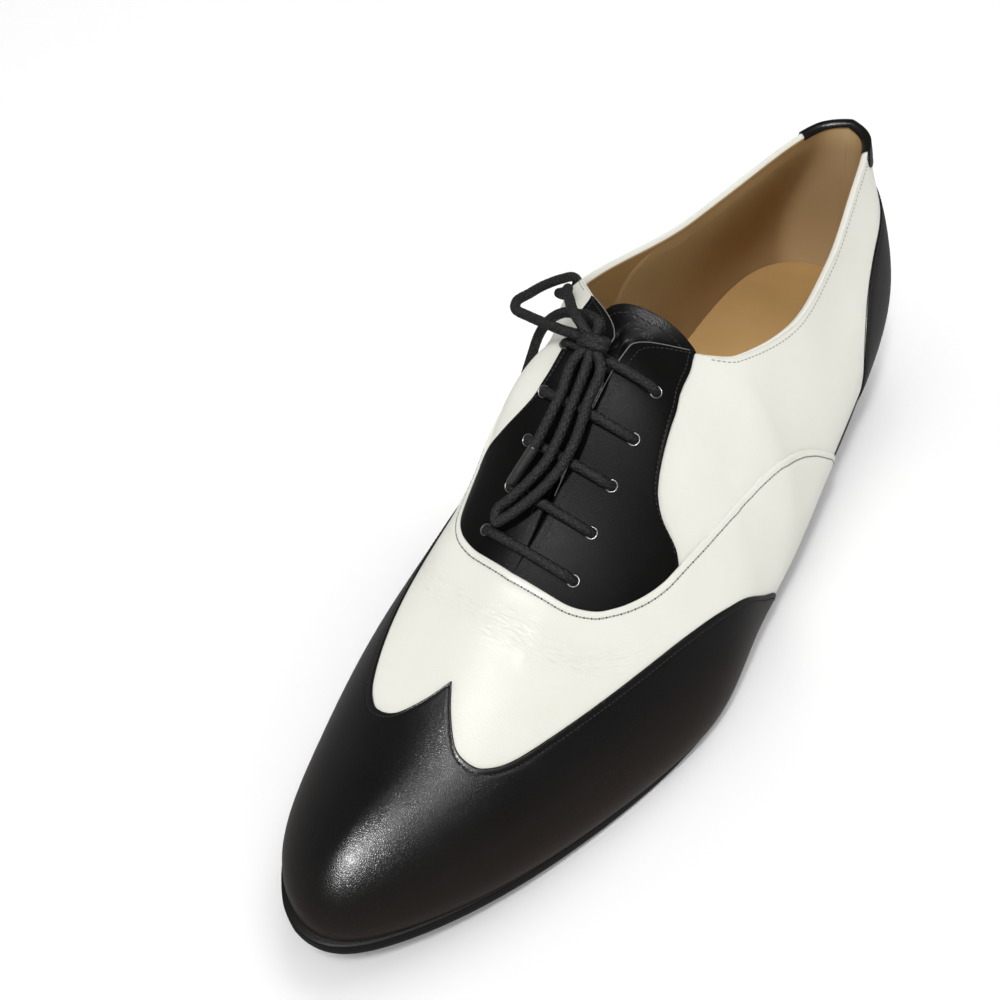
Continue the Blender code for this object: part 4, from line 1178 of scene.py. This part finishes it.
# Bow: the lace's two ends tied over the top bar.  One loop lies out over the
# inner side, the other hangs down the throat, and each end has a film tip.
KNOT = (-6.3, 146.8, 89.7)
LOOP_A = ((-11.3, 146.4, 89.6), (-15.5, 145.6, 88.4), (-22.0, 144.0, 86.8), (-29.0, 142.2, 85.2),
          (-34.0, 140.2, 83.8), (-36.6, 136.0, 82.6), (-36.8, 130.2, 81.0), (-37.6, 122.0, 78.0),
          (-36.8, 114.5, 75.6), (-36.2, 109.6, 73.2), (-36.2, 107.8, 70.4), (-36.2, 109.6, 68.6),
          (-36.2, 113.4, 69.7), (-35.3, 118.3, 73.8), (-30.5, 122.8, 79.2), (-26.6, 127.0, 84.6),
          (-23.4, 132.4, 88.6), (-19.2, 137.6, 91.2), (-14.8, 142.8, 93.0), (-10.2, 146.2, 93.2))
LOOP_B = ((-2.3, 150.2, 86.6), (-1.6, 157.2, 80.2), (-0.8, 165.0, 73.1), (-1.5, 169.9, 68.9),
          (-3.4, 174.8, 65.2), (-6.2, 179.6, 61.8), (-8.7, 183.0, 59.5), (-10.8, 184.8, 58.2),
          (-11.9, 183.0, 59.2), (-9.8, 179.6, 62.2), (-7.1, 175.2, 66.0), (-5.0, 170.0, 70.2),
          (-4.6, 165.0, 74.4), (-4.9, 159.7, 78.8), (-5.6, 151.2, 85.8))
END_A = ((-8.9, 150.4, 86.6), (-8.6, 158.2, 80.5), (-9.4, 167.2, 72.4), (-9.6, 168.4, 71.2))
AGLET_A = ((-9.65, 168.7, 70.95), (-12.0, 176.3, 63.3))
END_B = ((-6.4, 144.4, 93.4), (-10.2, 142.0, 92.6), (-14.6, 140.2, 90.2), (-20.4, 138.6, 87.2),
         (-24.8, 138.4, 83.0), (-28.0, 138.2, 77.4), (-31.4, 137.9, 67.6), (-33.6, 137.9, 60.2),
         (-35.4, 137.7, 52.5))
AGLET_B = ((-35.5, 137.7, 52.1), (-37.1, 137.5, 41.6))
WRAP_HALF_WIDTH = 3.1
WRAP_HALF_DEPTH = 1.8
WRAP_TURNS = (-0.35, 2.85)
WRAP_MIDDLE, WRAP_PITCH = 1.3, 0.68
WRAP_THICK = 2.4
down_throat = np.array([0.0, 0.72, -0.69])
off_throat = np.array([0.0, 0.69, 0.72])
turn = math.pi * np.linspace(*WRAP_TURNS, 24)[:, None]
wrap_route = (np.array(KNOT) + WRAP_HALF_WIDTH * np.cos(turn) * np.array([1.0, 0, 0])
              + WRAP_HALF_DEPTH * np.sin(turn) * off_throat
              + (turn / math.pi - WRAP_MIDDLE) * WRAP_PITCH * down_throat)
knot, _ = braided("lace_knot_wrap", wrap_route, WRAP_THICK)
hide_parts("lace_knot")

aglet_film, tree, shader = new_finish("aglet_film", {
    "Coat Weight": 0.7, "Coat Roughness": COAT_ROUGHNESS, "Roughness": 0.35})
spot = add_node(tree, "TexCoord", {})
cloud = add_node(tree, "TexNoise", {"Vector": spot.outputs["Object"], "Scale": 700})
film_tone = two_tones(tree, cloud.outputs["Fac"], (0.014, 0.014, 0.015, 1), (0.035, 0.035, 0.036, 1))
tree.links.new(film_tone, shader.inputs["Base Color"])
# Section of a tip: share of its length and radius.
AGLET = ((0, 1.0), (0, 1.32), (0.02, 1.42), (0.05, 1.42), (0.3, 1.4),
         (0.6, 1.38), (0.95, 1.36), (0.985, 1.3), (1.0, 1.1), (1.0, 0.0))
INTO_KNOT = 0.25
INTO_TIP = 0.97


def aglet(name, ends):
    """Clear film rolled tight round the lace's last centimetre."""
    start, stop = np.array(ends, float)
    run = unit(stop - start)
    side = unit(np.cross(run, UPWARD))
    turn = np.linspace(0, 2 * math.pi, 33)
    shares, radii = np.array(AGLET).T[..., None, None]
    tube = start + shares * (stop - start) + radii * spokes(turn, side, np.cross(run, side))
    piece = grid_piece(name, tube, [aglet_film])
    return piece


for name, points, node in (("lace_loop_out", LOOP_A, "lace_loop_a"),
                           ("lace_loop_down", LOOP_B, "lace_loop_b")):
    into_knot = np.array(KNOT) + INTO_KNOT * (np.array(points)[[0, -1]] - np.array(KNOT))
    loop, route = braided(name, np.concatenate([into_knot[:1], points, into_knot[1:]]))
    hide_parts(node)
for name, points, tip, node, tip_node in (("lace_end_down", END_A, AGLET_A, "lace_end_a", "aglet_a"),
                                          ("lace_end_out", END_B, AGLET_B, "lace_end_b", "aglet_b")):
    into_knot = np.array(KNOT) + INTO_KNOT * (np.array(points[0]) - np.array(KNOT))
    through = np.array((tuple(into_knot),) + points + tip[1:], float)
    through[-1] = through[-2] + INTO_TIP * (through[-1] - through[-2])
    end, route = braided(name, through)
    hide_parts(node)
    film = aglet(name + "_tip", tip)
    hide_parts(tip_node)

# Sole: one thin layer of black rubber resin, cemented on.  Its edge is trimmed,
# dressed black and run with a single groove.
SEAT = 0.3
SOLE_THICK = 4.6
# Reach of the edge beyond the feather line: rib and reach.
SOLE_REACH = (
    (0, 1.2), (1, 0.8), (2, 0.2), (7.5, 0.1), (8, 0.4), (8.5, 0.9), (9, 1.25), (10, 1.6), (11, 2.15),
    (11.5, 2.5), (12, 3.0), (12.25, 3.3), (12.5, 3.0), (12.75, 2.3), (13, 1.9), (13.5, 1.8), (14, 1.6),
    (15, 1.25), (15.5, 0.9), (16, 0.4), (16.5, 0.1), (22, 0.2), (23, 0.8), (24, 1.2),
)
edge_dressing = leather("edge_dressing", (0.004, 0.0036, 0.0033), (0.008, 0.007, 0.006),
                        roughness=0.5, cell=0.7, depth=0.02, specular=0.2)
tread_rubber = leather("tread_rubber", (0.012, 0.0115, 0.011), (0.022, 0.021, 0.02),
                       roughness=0.7, cell=1.1, depth=0.1)


def sole_reach(u):
    return float(np.interp(u % LOOP, *np.transpose(SOLE_REACH)))


def sole_under(u):
    return max(0.0, float(foot_z(np.array(u))) - SEAT - SOLE_THICK)


def sole_profile(u):
    top = float(foot_z(np.array(u))) - SEAT
    low = sole_under(u)
    edge = sole_reach(u)
    return ((-3.0, top), (edge - 0.8, top), (edge - 0.3, top - 0.1), (edge - 0.03, top - 0.4),
            (edge, top - 1.0), (edge - 0.06, top - 1.25), (edge - 0.06, top - 1.4), (edge, top - 1.7),
            (edge - 0.1, low + 1.0), (edge - 0.3, low + 0.35), (edge - 0.7, low + 0.06), (edge - 1.3, low))


sole = layer_piece("sole_layer", loop_ribs, sole_profile, [edge_dressing])
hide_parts("outsole")

# Heel: a low block of stacked board, dressed black like the sole, on a rubber
# wearing piece that is nailed under it.
HEEL_BREAST = 3.25
TOP_PIECE = 5.0
HEEL_EDGE, HEEL_WAIST, HEEL_FOOT = -0.5, -1.1, -1.6
HEEL_LIFTS = np.linspace(0, 1, 5)
LIFT_NOTCH, LIFT_ROUNDING = 0.16, 0.03
BLOCK_LAP = 1.2


def block_profile(u):
    top = sole_under(u) - SEAT
    low = TOP_PIECE + SEAT
    edge = sole_reach(u) + HEEL_EDGE
    rows = [(edge - BLOCK_LAP, top)]
    for start, stop in zip(HEEL_LIFTS[:-1], HEEL_LIFTS[1:]):
        for share, notch in ((start, LIFT_NOTCH), (start + LIFT_ROUNDING, 0.0),
                             (stop - LIFT_ROUNDING, 0.0), (stop, LIFT_NOTCH)):
            rows.append((edge + share * (HEEL_WAIST - HEEL_EDGE) - notch, top + share * (low - top)))
    return (*rows, (edge + HEEL_WAIST - HEEL_EDGE - BLOCK_LAP, low))


def tread_profile(u):
    waist, foot = sole_reach(u) + HEEL_WAIST, sole_reach(u) + HEEL_FOOT
    return ((waist - 0.8, TOP_PIECE), (waist - 0.2, TOP_PIECE - 0.06), (waist, TOP_PIECE - 0.3),
            (foot, 0.5), (foot - 0.2, 0.12), (foot - 0.7, 0.0))


heel_ribs = np.linspace(-HEEL_BREAST, HEEL_BREAST, 111)
heel = layer_piece("heel_block", heel_ribs, block_profile, [edge_dressing], 24)
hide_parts("heel_stack")
tread = layer_piece("heel_tread", heel_ribs, tread_profile, [tread_rubber], 24)
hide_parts("heel_top_piece")

# Floor, light and camera: a plain pale floor in a white room with four lamps,
# seen from the front of the outer side.  The floor is hidden from reflections.
FLOOR_HALF = 3
scene = bpy.context.scene
floor_mesh = bpy.data.meshes.new("floor")
floor_corners = [(FLOOR_HALF * x, FLOOR_HALF * y, 0) for x, y in ((-1, -1), (1, -1), (1, 1), (-1, 1))]
floor_mesh.from_pydata(floor_corners, [], [(0, 1, 2, 3)])
floor = bpy.data.objects.new("floor", floor_mesh)
floor_paint, _, _ = new_finish("floor_paint", {
    "Base Color": (0.98, 0.98, 0.98, 1), "Roughness": 0.9, "Specular IOR Level": 0.1})
floor_mesh.materials.append(floor_paint)
scene.collection.objects.link(floor)
floor.visible_glossy = False

# Strength of the room at the horizon and overhead, and its share in reflections.
HORIZON, ZENITH = 1.5, 0.41
GLOSS_SHARE = 0.16
room = bpy.data.worlds.new("white_room")
room.use_nodes = True
tree = room.node_tree
spot = add_node(tree, "TexCoord", {})
axes = add_node(tree, "SeparateXYZ", {"Vector": spot.outputs["Generated"]})
ceiling = add_node(tree, "MapRange", {
    "Value": axes.outputs["Z"], "From Min": 0.05, "From Max": 0.75, "To Min": HORIZON, "To Max": ZENITH},
    interpolation_type="SMOOTHSTEP")
ray = add_node(tree, "LightPath", {})
gloss_share = add_node(tree, "MapRange", {
    "Value": ray.outputs["Is Glossy Ray"], "To Min": 1, "To Max": GLOSS_SHARE})
softened = add_node(tree, "Math", {0: ceiling.outputs["Result"], 1: gloss_share.outputs["Result"]},
                    operation="MULTIPLY")
sky = tree.nodes["Background"]
sky.inputs["Color"].default_value = (1, 1, 1, 1)
tree.links.new(softened.outputs[0], sky.inputs["Strength"])
scene.world = room


def aimed(name, data, place, right, up, back):
    """Lamp or camera at a place, turned by its own three directions."""
    holder = bpy.data.objects.new(name, data)
    holder.location = place
    holder.rotation_euler = Matrix(np.stack([right, up, back], 1).tolist()).to_euler()
    scene.collection.objects.link(holder)
    return holder


def lamp(name, place, aim, size, power):
    """Oblong soft lamp, aimed at a point; metres and watts."""
    light = bpy.data.lights.new(name, "AREA")
    light.shape = "RECTANGLE"
    light.size, light.size_y = size
    light.energy = power
    back = unit(np.array(place) - np.array(aim))
    right = unit(np.cross((0.0, 1.0, 0.0), back))
    return aimed(name, light, place, right, np.cross(back, right), back)


# Two lamps light the surfaces, and two small ones are seen only in reflections.
lamp("overhead", (0.1, -0.4, 0.95), (0, -0.1, 0.03), (0.1, 0.25), 3.4).visible_glossy = False
lamp("sparkle", (0.1, -0.5, 0.952), (0, -0.1, 0.03), (0.08, 0.12), 14.0).visible_diffuse = False
lamp("glint", (0.28, -0.09, 1.0), (0.01, -0.06, 0.04), (0.08, 0.08), 1.5).visible_diffuse = False
lamp("rear", (-0.15, 0.75, 1.3), (-0.15, 0.45, 0), (1.2, 0.6), 6.5).visible_glossy = False

CAMERA_PLACE = (0.111944, -0.201071, 0.283206)
CAMERA_AZIMUTH, CAMERA_ELEVATION, CAMERA_ROLL = np.radians((38.558, 47.188, -4.863))
right = np.array([math.cos(CAMERA_AZIMUTH), math.sin(CAMERA_AZIMUTH), 0])
back = np.array([math.sin(CAMERA_AZIMUTH) * math.cos(CAMERA_ELEVATION),
                 -math.cos(CAMERA_AZIMUTH) * math.cos(CAMERA_ELEVATION), math.sin(CAMERA_ELEVATION)])
up = np.cross(back, right)
rolled_right = math.cos(CAMERA_ROLL) * right + math.sin(CAMERA_ROLL) * up
rolled_up = math.cos(CAMERA_ROLL) * up - math.sin(CAMERA_ROLL) * right
lens = bpy.data.cameras.new("camera")
lens.sensor_width = 36
lens.lens = 44.379
lens.clip_start = 0.01
camera = aimed("camera", lens, CAMERA_PLACE, rolled_right, rolled_up, back)
scene.camera = camera
scene.view_settings.view_transform = "Standard"
